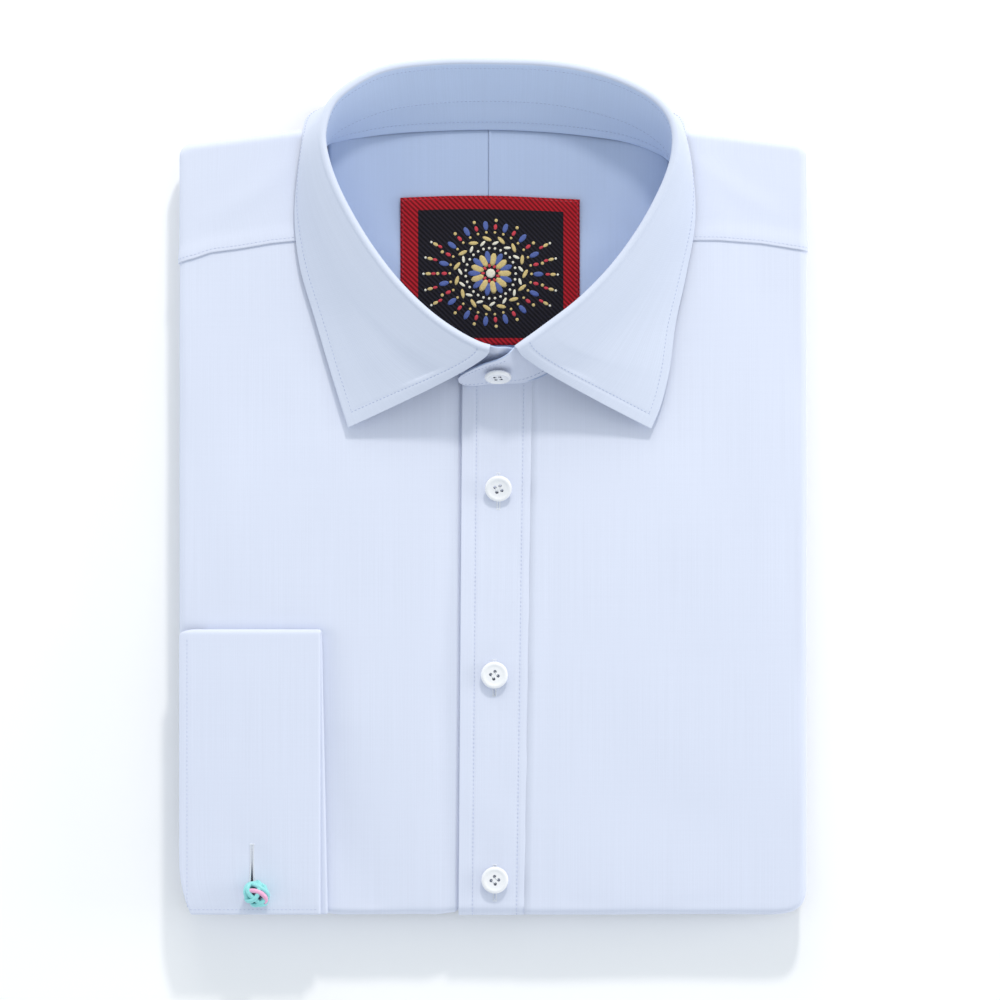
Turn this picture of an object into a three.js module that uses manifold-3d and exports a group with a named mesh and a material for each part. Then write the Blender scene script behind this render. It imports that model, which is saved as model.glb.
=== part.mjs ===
// A long sleeve dress shirt, folded flat for display and lying on its back.
// Millimetres, +Z up. +Y points to the collar, +X to the wearer's left side.
// The origin is under the middle of the folded shirt, on the surface it lies on.

import * as THREE from 'three';
import { mergeVertices } from 'three/addons/utils/BufferGeometryUtils.js';
import Module from 'manifold-3d';

// Driving sizes of the folded body
const bodyHalfWidth = 132.5;
const bodyBottomY = -180.6;
const shoulderNeckX = 76;
const shoulderNeckY = 151.9;
const shoulderEndY = 144.7;
const stackHeight = 18.5;
const crownHeight = 3.4;
const crownCentreY = -18;
const crownHalfLength = 165;

// Cloth walls and the gaps between pieces
const clothWall = 1.2;
const stackGap = 0.5;
const seamGap = 0.3;
const collarWall = 1.4;
const coverOut = stackGap + clothWall;

// Rolled edges: how far a fold reaches past the flat top, and how deep it is
const sideReach = 4.0;
const sideTuckZ = 9.9;
const hemReach = 4.0;
const hemTuckZ = 2.7;
const wrapLength = 12;
const wrapAngle = THREE.MathUtils.degToRad(150);
const flatX = bodyHalfWidth - sideReach - coverOut;
const flatBottomY = bodyBottomY + hemReach + coverOut;

// Rings of the hidden layers below the upper roll: the groove and the lower roll
const lowerRings = [
  { wrap: 1.25, sideReach: 0.5, sideZ: 8.2, hemReach: 1.4, hemZ: 2.0 },
  { wrap: 1.5, sideReach: 2.4, sideZ: 6.6, hemReach: 1.0, hemZ: 1.5 },
  { wrap: 1.75, sideReach: 4.3, sideZ: 4.4, hemReach: 0.6, hemZ: 1.0 },
  { wrap: 2.0, sideReach: 4.2, sideZ: 1.6, hemReach: 0.2, hemZ: 0.5 },
];
const footReach = 2.6;
const footInset = 0.9;

// Placket, buttons and cuff
const placketTop = { leftX: -13.0, rightX: 19.2, y: 42.6 };
const placketTopEdge = [
  { x: -13.0, y: 42.4 },
  { x: 14.0, y: 43.7 },
  { x: 19.5, y: 45.6 },
];
const placketFoot = { leftX: -14.6, rightX: 15.8 };
const placketDip = 1.0;
const underlapInset = 3;
const buttonRadius = 5.7;
const buttonHeight = 2.4;
const buttonBaseInset = 1.6;
const buttonRim = [
  { inset: buttonBaseInset, height: 0 },
  { inset: 0.3, height: 0.8 },
  { inset: 0, height: 1.3 },
  { inset: 0.5, height: 2.3 },
  { inset: 1.2, height: 2.4 },
  { inset: 2.1, height: 1.8 },
];
const buttonFaceHeight = 1.6;
const buttonHole = { radius: 0.65, out: 1.35 };
const buttons = [
  { name: 'button_1', x: 2.3, y: -0.4, tilt: 24, turn: 20 },
  { name: 'button_2', x: 0.6, y: -79.1, tilt: 3, turn: 35 },
  { name: 'button_3', x: 0.8, y: -165.6, tilt: 3, turn: 50 },
];
const cuffSize = { leftX: -132.4, rightX: -72.6, topY: -59.7, bottomY: -180.2 };
const collarButton = { x: 2.1, section: 27, standShare: 0.6, turn: 12 };
const cuffInnerEdgeX = -122;
const cuffUnderEdgeX = -119;
const cuffDip = 1.8;
const cuffLayer = 1.0;
const cuffFolds = { hand: 0.44, wrist: 0.46 };
const cuffFlare = { top: 0.6, end: 3.0 };
const cuffCorner = { topY: -157, inset: 6.5 };
const cuffDroop = 0.05;
const sleeveWall = 1.4;
const sideRecess = 1.7;
const knotCentre = { x: -99.4, y: -171 };
const knotRadius = 5.6;
const stemRadius = 0.55;
const stemLength = 5.6;
const stemY = 3.0;
const stemSunk = 0.6;
const cuffSlit = { x: -101.42, y: -161.73, z: 22.6, width: 1.8, length: 19.3, depth: 14 };

// Where the yoke's front edges cross the fronts, from the neck outwards
const yokeSeamRight = [
  { x: -60, y: 106.5 },
  { x: -83, y: 103.9 },
  { x: -93.7, y: 102.8 },
  { x: -107, y: 100.5 },
  { x: -119, y: 99.0 },
  { x: -132, y: 94.5 },
];
const yokeSeamLeft = [
  { x: 60, y: 104.1 },
  { x: 95.3, y: 104.1 },
  { x: 113.1, y: 102.8 },
  { x: 123.4, y: 101.2 },
  { x: 132.4, y: 99.5 },
];

// Collar sections, from the stand's underlapping end round the back to the buttoned tab.
// seam: foot of the stand. roll: the fold, or the stand's free top edge.
const standSections = [
  { seamX: 12.0, seamY: 46.8, seamZ: 22.9, rollX: 12.5, rollY: 57.0, rollZ: 41.0 },
  { seamX: 6.0, seamY: 46.6, seamZ: 22.9, rollX: 6.0, rollY: 58.6, rollZ: 46.5 },
  { seamX: -1.3, seamY: 46.5, seamZ: 22.8, rollX: -1.3, rollY: 58.6, rollZ: 49.0 },
  { seamX: -10.0, seamY: 47.6, seamZ: 22.6, rollX: -8.2, rollY: 61.0, rollZ: 49.0 },
  { seamX: -27.0, seamY: 55.5, seamZ: 22.5, rollX: -23.6, rollY: 70.6, rollZ: 48.5 },
  { seamX: -45.5, seamY: 73.0, seamZ: 22.0, rollX: -39.6, rollY: 85.6, rollZ: 47.5 },
  { seamX: -62.0, seamY: 98.5, seamZ: 21.4, rollX: -55.2, rollY: 106.6, rollZ: 46.8 },
  { seamX: -71.5, seamY: 124.0, seamZ: 20.8, rollX: -67.2, rollY: 129.4, rollZ: 46.5 },
  { seamX: -72.6, seamY: 137.5, seamZ: 20.6, rollX: -71.4, rollY: 145.0, rollZ: 46.2 },
  { seamX: -70.2, seamY: 144.6, seamZ: 20.2, rollX: -70.7, rollY: 153.8, rollZ: 45.4 },
  { seamX: -65.0, seamY: 146.6, seamZ: 19.6, rollX: -67.4, rollY: 162.2, rollZ: 43.8 },
  { seamX: -57.0, seamY: 148.2, seamZ: 19.0, rollX: -59.5, rollY: 169.5, rollZ: 41.5 },
  { seamX: -43.0, seamY: 150.2, seamZ: 18.2, rollX: -46.1, rollY: 176.4, rollZ: 38.6 },
  { seamX: -22.0, seamY: 151.5, seamZ: 17.7, rollX: -24.0, rollY: 179.6, rollZ: 37.0 },
  { seamX: 0.0, seamY: 151.9, seamZ: 17.6, rollX: 0.0, rollY: 179.9, rollZ: 36.6 },
  { seamX: 22.0, seamY: 151.0, seamZ: 17.7, rollX: 24.0, rollY: 179.0, rollZ: 37.0 },
  { seamX: 40.0, seamY: 149.2, seamZ: 18.2, rollX: 42.0, rollY: 175.8, rollZ: 38.6 },
  { seamX: 56.0, seamY: 146.6, seamZ: 19.0, rollX: 58.0, rollY: 170.0, rollZ: 41.5 },
  { seamX: 67.0, seamY: 142.8, seamZ: 19.7, rollX: 70.2, rollY: 162.0, rollZ: 43.8 },
  { seamX: 74.4, seamY: 138.2, seamZ: 20.3, rollX: 76.0, rollY: 152.4, rollZ: 45.6 },
  { seamX: 77.4, seamY: 130.5, seamZ: 20.6, rollX: 75.8, rollY: 138.2, rollZ: 46.4 },
  { seamX: 73.6, seamY: 114.0, seamZ: 21.0, rollX: 67.4, rollY: 117.6, rollZ: 46.8 },
  { seamX: 61.0, seamY: 89.0, seamZ: 21.7, rollX: 53.0, rollY: 95.8, rollZ: 47.4 },
  { seamX: 44.5, seamY: 66.8, seamZ: 22.4, rollX: 37.4, rollY: 79.3, rollZ: 48.4 },
  { seamX: 28.0, seamY: 51.6, seamZ: 22.9, rollX: 22.6, rollY: 67.8, rollZ: 49.2 },
  { seamX: 14.0, seamY: 44.9, seamZ: 23.5, rollX: 9.7, rollY: 58.4, rollZ: 49.6 },
  { seamX: 6.0, seamY: 44.2, seamZ: 23.7, rollX: 3.7, rollY: 54.2, rollZ: 45.4 },
  { seamX: -3.0, seamY: 43.7, seamZ: 23.8, rollX: -3.4, rollY: 51.9, rollZ: 41.6 },
  { seamX: -9.0, seamY: 43.2, seamZ: 23.9, rollX: -9.4, rollY: 49.4, rollZ: 37.6 },
  { seamX: -12.6, seamY: 43.6, seamZ: 25.0, rollX: -13.2, rollY: 47.4, rollZ: 33.2 },
  { seamX: -14.4, seamY: 44.8, seamZ: 27.6, rollX: -14.7, rollY: 46.0, rollZ: 30.2 },
];

// The leaf's outer edge, against the stand section that it hangs from (section counts from 0).
// hang: how far the leaf follows the stand down before it turns. bulge: how far it swells out.
const leafSections = [
  { section: 2.0, edgeX: -61.2, edgeY: 25.1, edgeZ: 25.6, hang: 3, bulge: 4 },
  { section: 2.5, edgeX: -62.6, edgeY: 29.6, edgeZ: 25.4, hang: 3, bulge: 5 },
  { section: 3.0, edgeX: -64.0, edgeY: 34.0, edgeZ: 25.2, hang: 4, bulge: 7 },
  { section: 4.0, edgeX: -68.0, edgeY: 47.0, edgeZ: 24.8, hang: 6, bulge: 9 },
  { section: 5.0, edgeX: -75.0, edgeY: 71.0, edgeZ: 24.2, hang: 8, bulge: 10 },
  { section: 6.0, edgeX: -81.4, edgeY: 93.5, edgeZ: 23.4, hang: 8, bulge: 9 },
  { section: 7.0, edgeX: -83.4, edgeY: 114.0, edgeZ: 22.6, hang: 8, bulge: 8 },
  { section: 8.0, edgeX: -82.2, edgeY: 131.0, edgeZ: 22.2, hang: 8, bulge: 7 },
  { section: 9.0, edgeX: -80.2, edgeY: 146.0, edgeZ: 22.6, hang: 8, bulge: 6 },
  { section: 10.0, edgeX: -78.4, edgeY: 156.8, edgeZ: 14.0, hang: 12, bulge: 4.5 },
  { section: 11.0, edgeX: -69.0, edgeY: 160.5, edgeZ: 4.6, hang: 12, bulge: 5 },
  { section: 12.0, edgeX: -50.0, edgeY: 161.5, edgeZ: 1.4, hang: 12, bulge: 6 },
  { section: 13.0, edgeX: -25.0, edgeY: 162.0, edgeZ: 1.1, hang: 12, bulge: 7 },
  { section: 14.0, edgeX: 0.0, edgeY: 162.0, edgeZ: 1.1, hang: 12, bulge: 7 },
  { section: 15.0, edgeX: 25.0, edgeY: 161.8, edgeZ: 1.1, hang: 12, bulge: 7 },
  { section: 16.0, edgeX: 46.0, edgeY: 161.2, edgeZ: 1.4, hang: 12, bulge: 6 },
  { section: 17.0, edgeX: 63.0, edgeY: 160.0, edgeZ: 3.4, hang: 12, bulge: 4 },
  { section: 18.0, edgeX: 78.8, edgeY: 157.0, edgeZ: 12.5, hang: 12, bulge: 3 },
  { section: 19.0, edgeX: 81.4, edgeY: 147.0, edgeZ: 22.6, hang: 9, bulge: 4 },
  { section: 20.0, edgeX: 84.2, edgeY: 130.0, edgeZ: 22.3, hang: 8, bulge: 6 },
  { section: 21.0, edgeX: 85.0, edgeY: 112.0, edgeZ: 22.8, hang: 8, bulge: 8 },
  { section: 22.0, edgeX: 81.4, edgeY: 90.0, edgeZ: 23.6, hang: 8, bulge: 9 },
  { section: 23.0, edgeX: 77.0, edgeY: 69.0, edgeZ: 24.3, hang: 8, bulge: 10 },
  { section: 24.0, edgeX: 74.2, edgeY: 48.0, edgeZ: 24.8, hang: 7, bulge: 10 },
  { section: 24.6, edgeX: 70.6, edgeY: 33.8, edgeZ: 25.2, hang: 8, bulge: 5 },
  { section: 25.0, edgeX: 66.7, edgeY: 24.5, edgeZ: 25.6, hang: 8, bulge: 2 },
];
const foldRadius = 1.6;
const necklineInset = 1.7;
const collarCentre = { x: 1.6, y: 112 };

// The neck well: the inner yoke lies on the floor of it
const wellFloorZ = 13.0;
const wellBackRise = 3.6;
const wellSideRise = 3.2;
const wellEnds = { rightX: -69.6, leftX: 75.2 };
const wellFrontY = 49;
const wellSideY = 118;
const wellMargin = 0.8;
const wellFloorGap = 0.4;
const wellLidZ = 40;
const wellBehind = 6;
const yokeCentreX = -1.7;
const label = { leftX: -39.2, rightX: 36.7, bottomY: 60.2, topY: 123 };
const labelWall = 1.0;

// Colours and finishes
const poplin = { color: 0xdce4f8, roughness: 0.85, metalness: 0 };
const poplinInside = { color: 0xc3cee6, roughness: 0.85, metalness: 0 };
const resin = { color: 0xf4f5f8, roughness: 0.35, metalness: 0 };
const labelWeave = { color: 0x6e2027, roughness: 0.8, metalness: 0 };
const silk = { color: 0x8fdcdc, roughness: 0.6, metalness: 0 };

const { clamp, lerp, smoothstep } = THREE.MathUtils;

// Straight-line reading of a table by one of its columns
function readTable(table, key, value, column) {
  const ordered = [...table].sort((a, b) => a[key] - b[key]);
  if (value <= ordered[0][key]) {
    return ordered[0][column];
  }
  for (let i = 1; i < ordered.length; i += 1) {
    const before = ordered[i - 1];
    const after = ordered[i];
    if (value <= after[key]) {
      const share = (value - before[key]) / (after[key] - before[key]);
      return lerp(before[column], after[column], share);
    }
  }
  return ordered[ordered.length - 1][column];
}

// Outline of the folded body at the shoulders
function shoulderY(x) {
  const share = clamp((Math.abs(x) - shoulderNeckX) / (bodyHalfWidth - shoulderNeckX), 0, 1);
  return lerp(shoulderNeckY, shoulderEndY, share);
}

function flatTopY(x) {
  return shoulderY(x) - sideReach - coverOut;
}

function placketLeftX(y) {
  const share = clamp((placketTop.y - y) / (placketTop.y - bodyBottomY), 0, 1);
  return lerp(placketTop.leftX, placketFoot.leftX, share);
}

function placketRightX(y) {
  const share = clamp((placketTop.y - y) / (placketTop.y - bodyBottomY), 0, 1);
  return lerp(placketTop.rightX, placketFoot.rightX, share);
}

function placketTopY(x) {
  return readTable(placketTopEdge, 'x', x, 'y');
}

// How much the cloth is pressed down beside and under the placket
function dipUnderPlacket(x, y) {
  return placketDip * smoothstep(x, placketLeftX(y) - 10, placketLeftX(y) - 1);
}

function dipEndsAtPlacket(x, y) {
  return 1 - smoothstep(x, placketRightX(y) - underlapInset + 0.2, placketRightX(y));
}

// How much the layers give way under the cuff
function dipUnderCuff(x, y) {
  const across = 1 - smoothstep(x, cuffSize.rightX - 1, cuffSize.rightX + 8);
  const along = 1 - smoothstep(y, cuffSize.topY - 1, cuffSize.topY + 7);
  return cuffDip * across * along;
}

// The three ways in which the top of the layers is pressed by what lies on it
const pressing = {
  none: () => 0,
  right: (x, y) => dipUnderPlacket(x, y) + dipUnderCuff(x, y),
  layers: (x, y) => dipUnderPlacket(x, y) * dipEndsAtPlacket(x, y) + dipUnderCuff(x, y),
};

function stackTop(x, y, press) {
  const across = 1 - (x / bodyHalfWidth) ** 2;
  const along = 1 - ((y - crownCentreY) / crownHalfLength) ** 2;
  return stackHeight + crownHeight * Math.max(across, 0) * Math.max(along, 0) - press(x, y);
}

// Reach and height of a rolled edge, wrap = 0 at the flat top and 1 where the cloth tucks in
function edgeProfile(wrap, topZ, pressed) {
  if (wrap <= 1) {
    const angle = wrapAngle * wrap;
    const depthShare = (1 - Math.cos(angle)) / (1 - Math.cos(wrapAngle));
    return {
      side: { reach: sideReach * Math.sin(angle), z: lerp(topZ, sideTuckZ, depthShare) },
      hem: { reach: (hemReach - pressed) * Math.sin(angle), z: lerp(topZ, hemTuckZ, depthShare) },
    };
  }
  const read = (column) => readTable(lowerRings, 'wrap', wrap, column);
  return {
    side: { reach: read('sideReach'), z: read('sideZ') },
    hem: { reach: read('hemReach'), z: read('hemZ') },
  };
}

// A point of the layers' outside. x and y are taken along the cloth, past the flat top
// they run down the rolled edges, and a corner turns from the side's roll to the end's.
function layerPoint(x, y, press) {
  const flatHere = clamp(x, -flatX, flatX);
  const topLimit = flatTopY(flatHere);
  const restY = clamp(y, flatBottomY, topLimit);
  const sideWrap = Math.max(Math.abs(x) - flatX, 0) / wrapLength;
  const endWrap = Math.max(y - topLimit, flatBottomY - y, 0) / wrapLength;
  const wrap = Math.max(sideWrap, endWrap);
  const point = new THREE.Vector3(flatHere, restY, stackTop(flatHere, restY, press));
  if (wrap === 0) {
    return point;
  }
  const turnShare = sideWrap >= endWrap ? 0.5 * (endWrap / wrap) : 1 - 0.5 * (sideWrap / wrap);
  const turn = (Math.PI / 2) * turnShare;
  const profile = edgeProfile(wrap, point.z, press(flatHere, restY));
  const end = y < flatBottomY ? profile.hem : profile.side;
  const recess = x < 0 ? sideRecess * (1 - smoothstep(restY, cuffSize.topY - 4, cuffSize.topY + 4)) : 0;
  const sideOut = profile.side.reach * (1 - recess / sideReach);
  point.x += Math.sign(x) * sideOut * Math.cos(turn);
  point.y += (y < flatBottomY ? -1 : 1) * end.reach * Math.sin(turn);
  point.z = lerp(profile.side.z, end.z, turnShare);
  return point;
}

// The same point moved out from the layers along the surface's normal
function coverPoint(x, y, out, press) {
  const step = 0.25;
  const point = layerPoint(x, y, press);
  const alongX = layerPoint(x + step, y, press).sub(layerPoint(x - step, y, press));
  const alongY = layerPoint(x, y + step, press).sub(layerPoint(x, y - step, press));
  const normal = alongX.cross(alongY).normalize();
  return point.addScaledVector(normal, out);
}

// Builds a closed wall between two grids of points with the same rows and columns
function wallBetween(outer, inner) {
  const rows = outer.length;
  const columns = outer[0].length;
  const positions = [...outer, ...inner].flat().flatMap((point) => [point.x, point.y, point.z]);
  const at = (side, i, j) => (side * rows + i) * columns + j;
  const indices = [];
  const quad = (a, b, c, d) => indices.push(a, b, c, a, c, d);
  for (let i = 0; i < rows - 1; i += 1) {
    for (let j = 0; j < columns - 1; j += 1) {
      quad(at(0, i, j), at(0, i, j + 1), at(0, i + 1, j + 1), at(0, i + 1, j));
      quad(at(1, i, j), at(1, i + 1, j), at(1, i + 1, j + 1), at(1, i, j + 1));
    }
  }
  const rim = [];
  for (let j = 0; j < columns - 1; j += 1) rim.push([0, j]);
  for (let i = 0; i < rows - 1; i += 1) rim.push([i, columns - 1]);
  for (let j = columns - 1; j > 0; j -= 1) rim.push([rows - 1, j]);
  for (let i = rows - 1; i > 0; i -= 1) rim.push([i, 0]);
  rim.forEach(([i, j], index) => {
    const [nextI, nextJ] = rim[(index + 1) % rim.length];
    quad(at(0, i, j), at(1, i, j), at(1, nextI, nextJ), at(0, nextI, nextJ));
  });
  return closedGeometry(positions, indices);
}

// A geometry whose faces point out
function closedGeometry(positions, indices) {
  const corner = (index) => new THREE.Vector3().fromArray(positions, index * 3);
  let volume = 0;
  for (let i = 0; i < indices.length; i += 3) {
    const [a, b, c] = [corner(indices[i]), corner(indices[i + 1]), corner(indices[i + 2])];
    volume += a.dot(b.cross(c));
  }
  if (volume < 0) {
    indices.reverse();
  }
  const geometry = new THREE.BufferGeometry();
  geometry.setAttribute('position', new THREE.Float32BufferAttribute(positions, 3));
  geometry.setIndex(indices);
  geometry.computeVertexNormals();
  return geometry;
}

function gridOf(rowLines, columnLines, pointAt) {
  return rowLines.map((row) => columnLines.map((column) => pointAt(column, row)));
}

// A cloth wall from a surface given by column, row and distance out
function clothSheet(rowLines, columnLines, surface, innerOut, outerOut) {
  const outer = gridOf(rowLines, columnLines, (column, row) => surface(column, row, outerOut));
  const inner = gridOf(rowLines, columnLines, (column, row) => surface(column, row, innerOut));
  return wallBetween(outer, inner);
}

// A cloth wall centred on a surface given by column and row
function centredSheet(rowLines, columnLines, surface, wall) {
  const step = 1e-3;
  const moved = (column, row, out) => {
    const [c0, c1] = [Math.max(column - step, 0), Math.min(column + step, 1)];
    const [r0, r1] = [Math.max(row - step, 0), Math.min(row + step, 1)];
    const alongColumn = surface(c1, row).sub(surface(c0, row));
    const alongRow = surface(column, r1).sub(surface(column, r0));
    return surface(column, row).addScaledVector(alongColumn.cross(alongRow).normalize(), out);
  };
  return clothSheet(rowLines, columnLines, moved, -wall / 2, wall / 2);
}

const evenly = (count, from = 0, to = 1) =>
  Array.from({ length: count + 1 }, (_, index) => lerp(from, to, index / count));

const upperWraps = [0.2, 0.4, 0.6, 0.8, 1.0];
const coverWraps = [0.2, 0.4, 0.6, 0.8, 0.97];

// Lines shared by the layers and by what lies on them, along the body and across it
const bodyRows = [flatBottomY, -150, -120, -90, -67, -63.7, -60.5, -57, -53.5, -50, -22, 8];
const cuffColumns = [-82, -73.6, -70.6, -67.6, -64.6, -60];
const neckShares = evenly(5);

// Solid booleans
const wasm = await Module();
wasm.setup();

function toSolid(geometry) {
  const bare = geometry.clone();
  bare.deleteAttribute('normal');
  bare.deleteAttribute('uv');
  const merged = mergeVertices(bare);
  const mesh = new wasm.Mesh({
    numProp: 3,
    vertProperties: Float32Array.from(merged.attributes.position.array),
    triVerts: Uint32Array.from(merged.index.array),
  });
  return new wasm.Manifold(mesh);
}

function fromSolid(solid) {
  const mesh = solid.getMesh();
  const geometry = new THREE.BufferGeometry();
  geometry.setAttribute('position', new THREE.Float32BufferAttribute(mesh.vertProperties, 3));
  geometry.setIndex(Array.from(mesh.triVerts));
  geometry.computeVertexNormals();
  return geometry;
}

const group = new THREE.Group();

function addPiece(name, geometry, finish) {
  const mesh = new THREE.Mesh(geometry, new THREE.MeshStandardMaterial(finish));
  mesh.name = name;
  group.add(mesh);
  return mesh;
}

// Neck well: height of the inner yoke's upper face
function innerYokeTop(x, y) {
  const back = wellBackRise * smoothstep(y, 105, 152);
  const side = wellSideRise * smoothstep(Math.abs(x), 42, 72) * smoothstep(y, 82, 118);
  return wellFloorZ + back + side;
}

// Front edge of the well, hidden under the fronts
function wellFront(x) {
  const share = clamp(x < 0 ? x / wellEnds.rightX : x / wellEnds.leftX, 0, 1);
  return lerp(wellFrontY, wellSideY, share ** 4);
}

// Foot line of the stand at the back of the neck
const backSeam = standSections.filter((row) => row.seamY > 138);

function wellBack(x) {
  return readTable(backSeam, 'seamX', x, 'seamY');
}

// Hidden layers
function foldedLayers() {
  const rings = [...upperWraps, ...lowerRings.map((row) => row.wrap)];
  const outwards = rings.map((wrap) => wrap * wrapLength);
  const flatColumns = [
    -flatX, -105, ...cuffColumns, -42, -24, -19, -14.4, 0, 13, 17, 30, 50, 72, 98, flatX];
  const columnLines = [
    ...outwards.map((out) => -flatX - out).reverse(), ...flatColumns, ...outwards.map((out) => flatX + out)];
  const rowLines = [...outwards.map((out) => flatBottomY - out).reverse(), ...bodyRows, 45, 80, 110];
  const grid = gridOf(rowLines, columnLines, (x, y) => layerPoint(x, y, pressing.layers));
  [0, ...outwards].forEach((out) => {
    const topAt = (x) => flatTopY(clamp(x, -flatX, flatX)) + out;
    grid.push(columnLines.map((x) => layerPoint(x, topAt(x), pressing.layers)));
  });
  return pillow(grid).subtract(neckWell());
}

// Closes a grid that has been rolled down its edges with a flat face at height 0
function pillow(grid) {
  const rows = grid.length;
  const columns = grid[0].length;
  const positions = grid.flat().flatMap((point) => [point.x, point.y, point.z]);
  const indices = [];
  const at = (i, j) => i * columns + j;
  for (let i = 0; i < rows - 1; i += 1) {
    for (let j = 0; j < columns - 1; j += 1) {
      indices.push(at(i, j), at(i, j + 1), at(i + 1, j + 1));
      indices.push(at(i, j), at(i + 1, j + 1), at(i + 1, j));
    }
  }
  const rim = [];
  for (let j = 0; j < columns - 1; j += 1) rim.push(at(0, j));
  for (let i = 0; i < rows - 1; i += 1) rim.push(at(i, columns - 1));
  for (let j = columns - 1; j > 0; j -= 1) rim.push(at(rows - 1, j));
  for (let i = rows - 1; i > 0; i -= 1) rim.push(at(i, 0));
  const lowestRing = lowerRings[lowerRings.length - 1];
  const footScaleX = (flatX + footReach) / (flatX + lowestRing.sideReach);
  const foot = rim.map((index) => {
    const point = new THREE.Vector3().fromArray(positions, index * 3);
    return new THREE.Vector2(point.x * footScaleX, point.y - Math.sign(point.y) * footInset);
  });
  const firstFoot = positions.length / 3;
  foot.forEach((point) => positions.push(point.x, point.y, 0));
  rim.forEach((index, order) => {
    const next = (order + 1) % rim.length;
    indices.push(index, firstFoot + order, firstFoot + next, index, firstFoot + next, rim[next]);
  });
  THREE.ShapeUtils.triangulateShape(foot, []).forEach(([a, b, c]) => {
    indices.push(firstFoot + c, firstFoot + b, firstFoot + a);
  });
  return toSolid(closedGeometry(positions, indices));
}

// Everything above the inner yoke, and behind it past the shoulders
function neckWell() {
  const columnLines = evenly(16, wellEnds.rightX - wellMargin, wellEnds.leftX + wellMargin);
  const shares = evenly(10);
  const floorZ = (x, y) => innerYokeTop(x, y) - clothWall - wellFloorGap;
  const yAt = (x, share) => lerp(wellFront(x) - wellMargin, shoulderNeckY + wellBehind, share);
  const floor = shares.map((share) => columnLines.map((x) =>
    new THREE.Vector3(x, yAt(x, share), floorZ(x, yAt(x, share)))));
  const lid = floor.map((row) => row.map((point) => new THREE.Vector3(point.x, point.y, wellLidZ)));
  return toSolid(wallBetween(lid, floor));
}

// The neckline of one front, from the stand's foot
function necklineY(x) {
  const side = x < 0
    ? standSections.slice(2, 8)
    : standSections.slice(21, 26);
  const seamAt = (place) => readTable(side, 'seamX', place, 'seamY');
  const slope = (seamAt(x + 2) - seamAt(x - 2)) / 4;
  return seamAt(x) - necklineInset * Math.hypot(1, slope);
}

// Rows of a front: round the hem fold, along the body, then in shares up to its top edge
const lastBodyRow = bodyRows[bodyRows.length - 1];

function frontRows(deepestWrap) {
  const hemWraps = coverWraps.filter((wrap) => wrap <= deepestWrap);
  const hemRows = hemWraps.map((wrap) => flatBottomY - wrap * wrapLength);
  return [...hemRows.reverse(), ...bodyRows, ...neckShares.slice(1).map((share) => lastBodyRow + share)];
}

function frontPanel(columnLines, topAt, press) {
  const surface = (column, row, out) => {
    const y = row <= lastBodyRow ? row : lerp(lastBodyRow, topAt(column), row - lastBodyRow);
    const x = typeof column === 'function' ? column(y) : column;
    return coverPoint(x, y, out, press);
  };
  return clothSheet(frontRows(1), columnLines, surface, stackGap, coverOut);
}

// Top edge of a front at a column
function frontTop(x, seamTable, meetX) {
  const seamY = readTable(seamTable, 'x', x, 'y') - seamGap;
  return Math.abs(x) >= meetX ? seamY : Math.min(necklineY(x), seamY);
}

function frontLeft() {
  const sideLines = coverWraps.map((wrap) => flatX + wrap * wrapLength);
  const edge = (y) => placketRightX(y) + seamGap;
  const columnLines = [edge, 27, 36, 45, 54, 62, 67, 72, 85, 105, flatX, ...sideLines];
  const topAt = (column) => (typeof column === 'function'
    ? placketTopY(placketTop.rightX)
    : frontTop(column, yokeSeamLeft, 72));
  return frontPanel(columnLines, topAt, pressing.none);
}

function frontRight() {
  const sideLines = coverWraps.map((wrap) => -flatX - wrap * wrapLength).reverse();
  const inset = (lineX, shift) => (y) => lineX(y) + shift;
  const columnLines = [
    ...sideLines, -flatX, -105, ...cuffColumns, -50, -40, -31,
    inset(placketLeftX, -9), inset(placketLeftX, -5.5), inset(placketLeftX, -1), inset(placketLeftX, 1.5),
    inset(placketRightX, -underlapInset)];
  const topAt = (column) => {
    const x = typeof column === 'function' ? column(placketTop.y) : column;
    return x > placketTop.leftX ? placketTopY(placketTop.leftX) : frontTop(x, yokeSeamRight, 66);
  };
  return frontPanel(columnLines, topAt, pressing.right);
}

function placket() {
  const surface = (share, row, out) => {
    const topY = placketTopY(lerp(placketTop.leftX, placketTop.rightX, share)) - seamGap;
    const y = row <= lastBodyRow ? row : lerp(lastBodyRow, topY, row - lastBodyRow);
    return coverPoint(lerp(placketLeftX(y), placketRightX(y), share), y, out, pressing.right);
  };
  const columnLines = [0, 0.3, 0.6, 0.82, 1];
  return clothSheet(frontRows(0.8), columnLines, surface, coverOut + seamGap, coverOut + seamGap + clothWall);
}

// Outer yoke on one side: from its front seam over the shoulder
function outerYoke(side, seamTable) {
  const neckRows = standSections.filter((row) => row.seamX * side > 55 && row.seamY > 95 && row.seamY < 146);
  const neckX = (y) => readTable(neckRows, 'seamY', y, 'seamX') + side * 2.0;
  const sideLines = coverWraps.map((wrap) => 1 + wrap);
  const columnLines = [...evenly(5), ...sideLines];
  const rowLines = [...evenly(5), ...sideLines];
  const surface = (column, row, out) => {
    const rowShare = Math.min(row, 1);
    const neckY = lerp(105, flatTopY(0), rowShare);
    const inner = neckX(neckY);
    const x = column <= 1
      ? lerp(inner, side * flatX, column)
      : side * (flatX + (column - 1) * wrapLength);
    const reachX = clamp(x, -flatX, flatX);
    const bottom = readTable(seamTable, 'x', x, 'y');
    const y = lerp(bottom, flatTopY(reachX), rowShare) + Math.max(row - 1, 0) * wrapLength;
    return coverPoint(x, y, out, pressing.none);
  };
  return clothSheet(rowLines, columnLines, surface, stackGap, coverOut);
}

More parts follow.
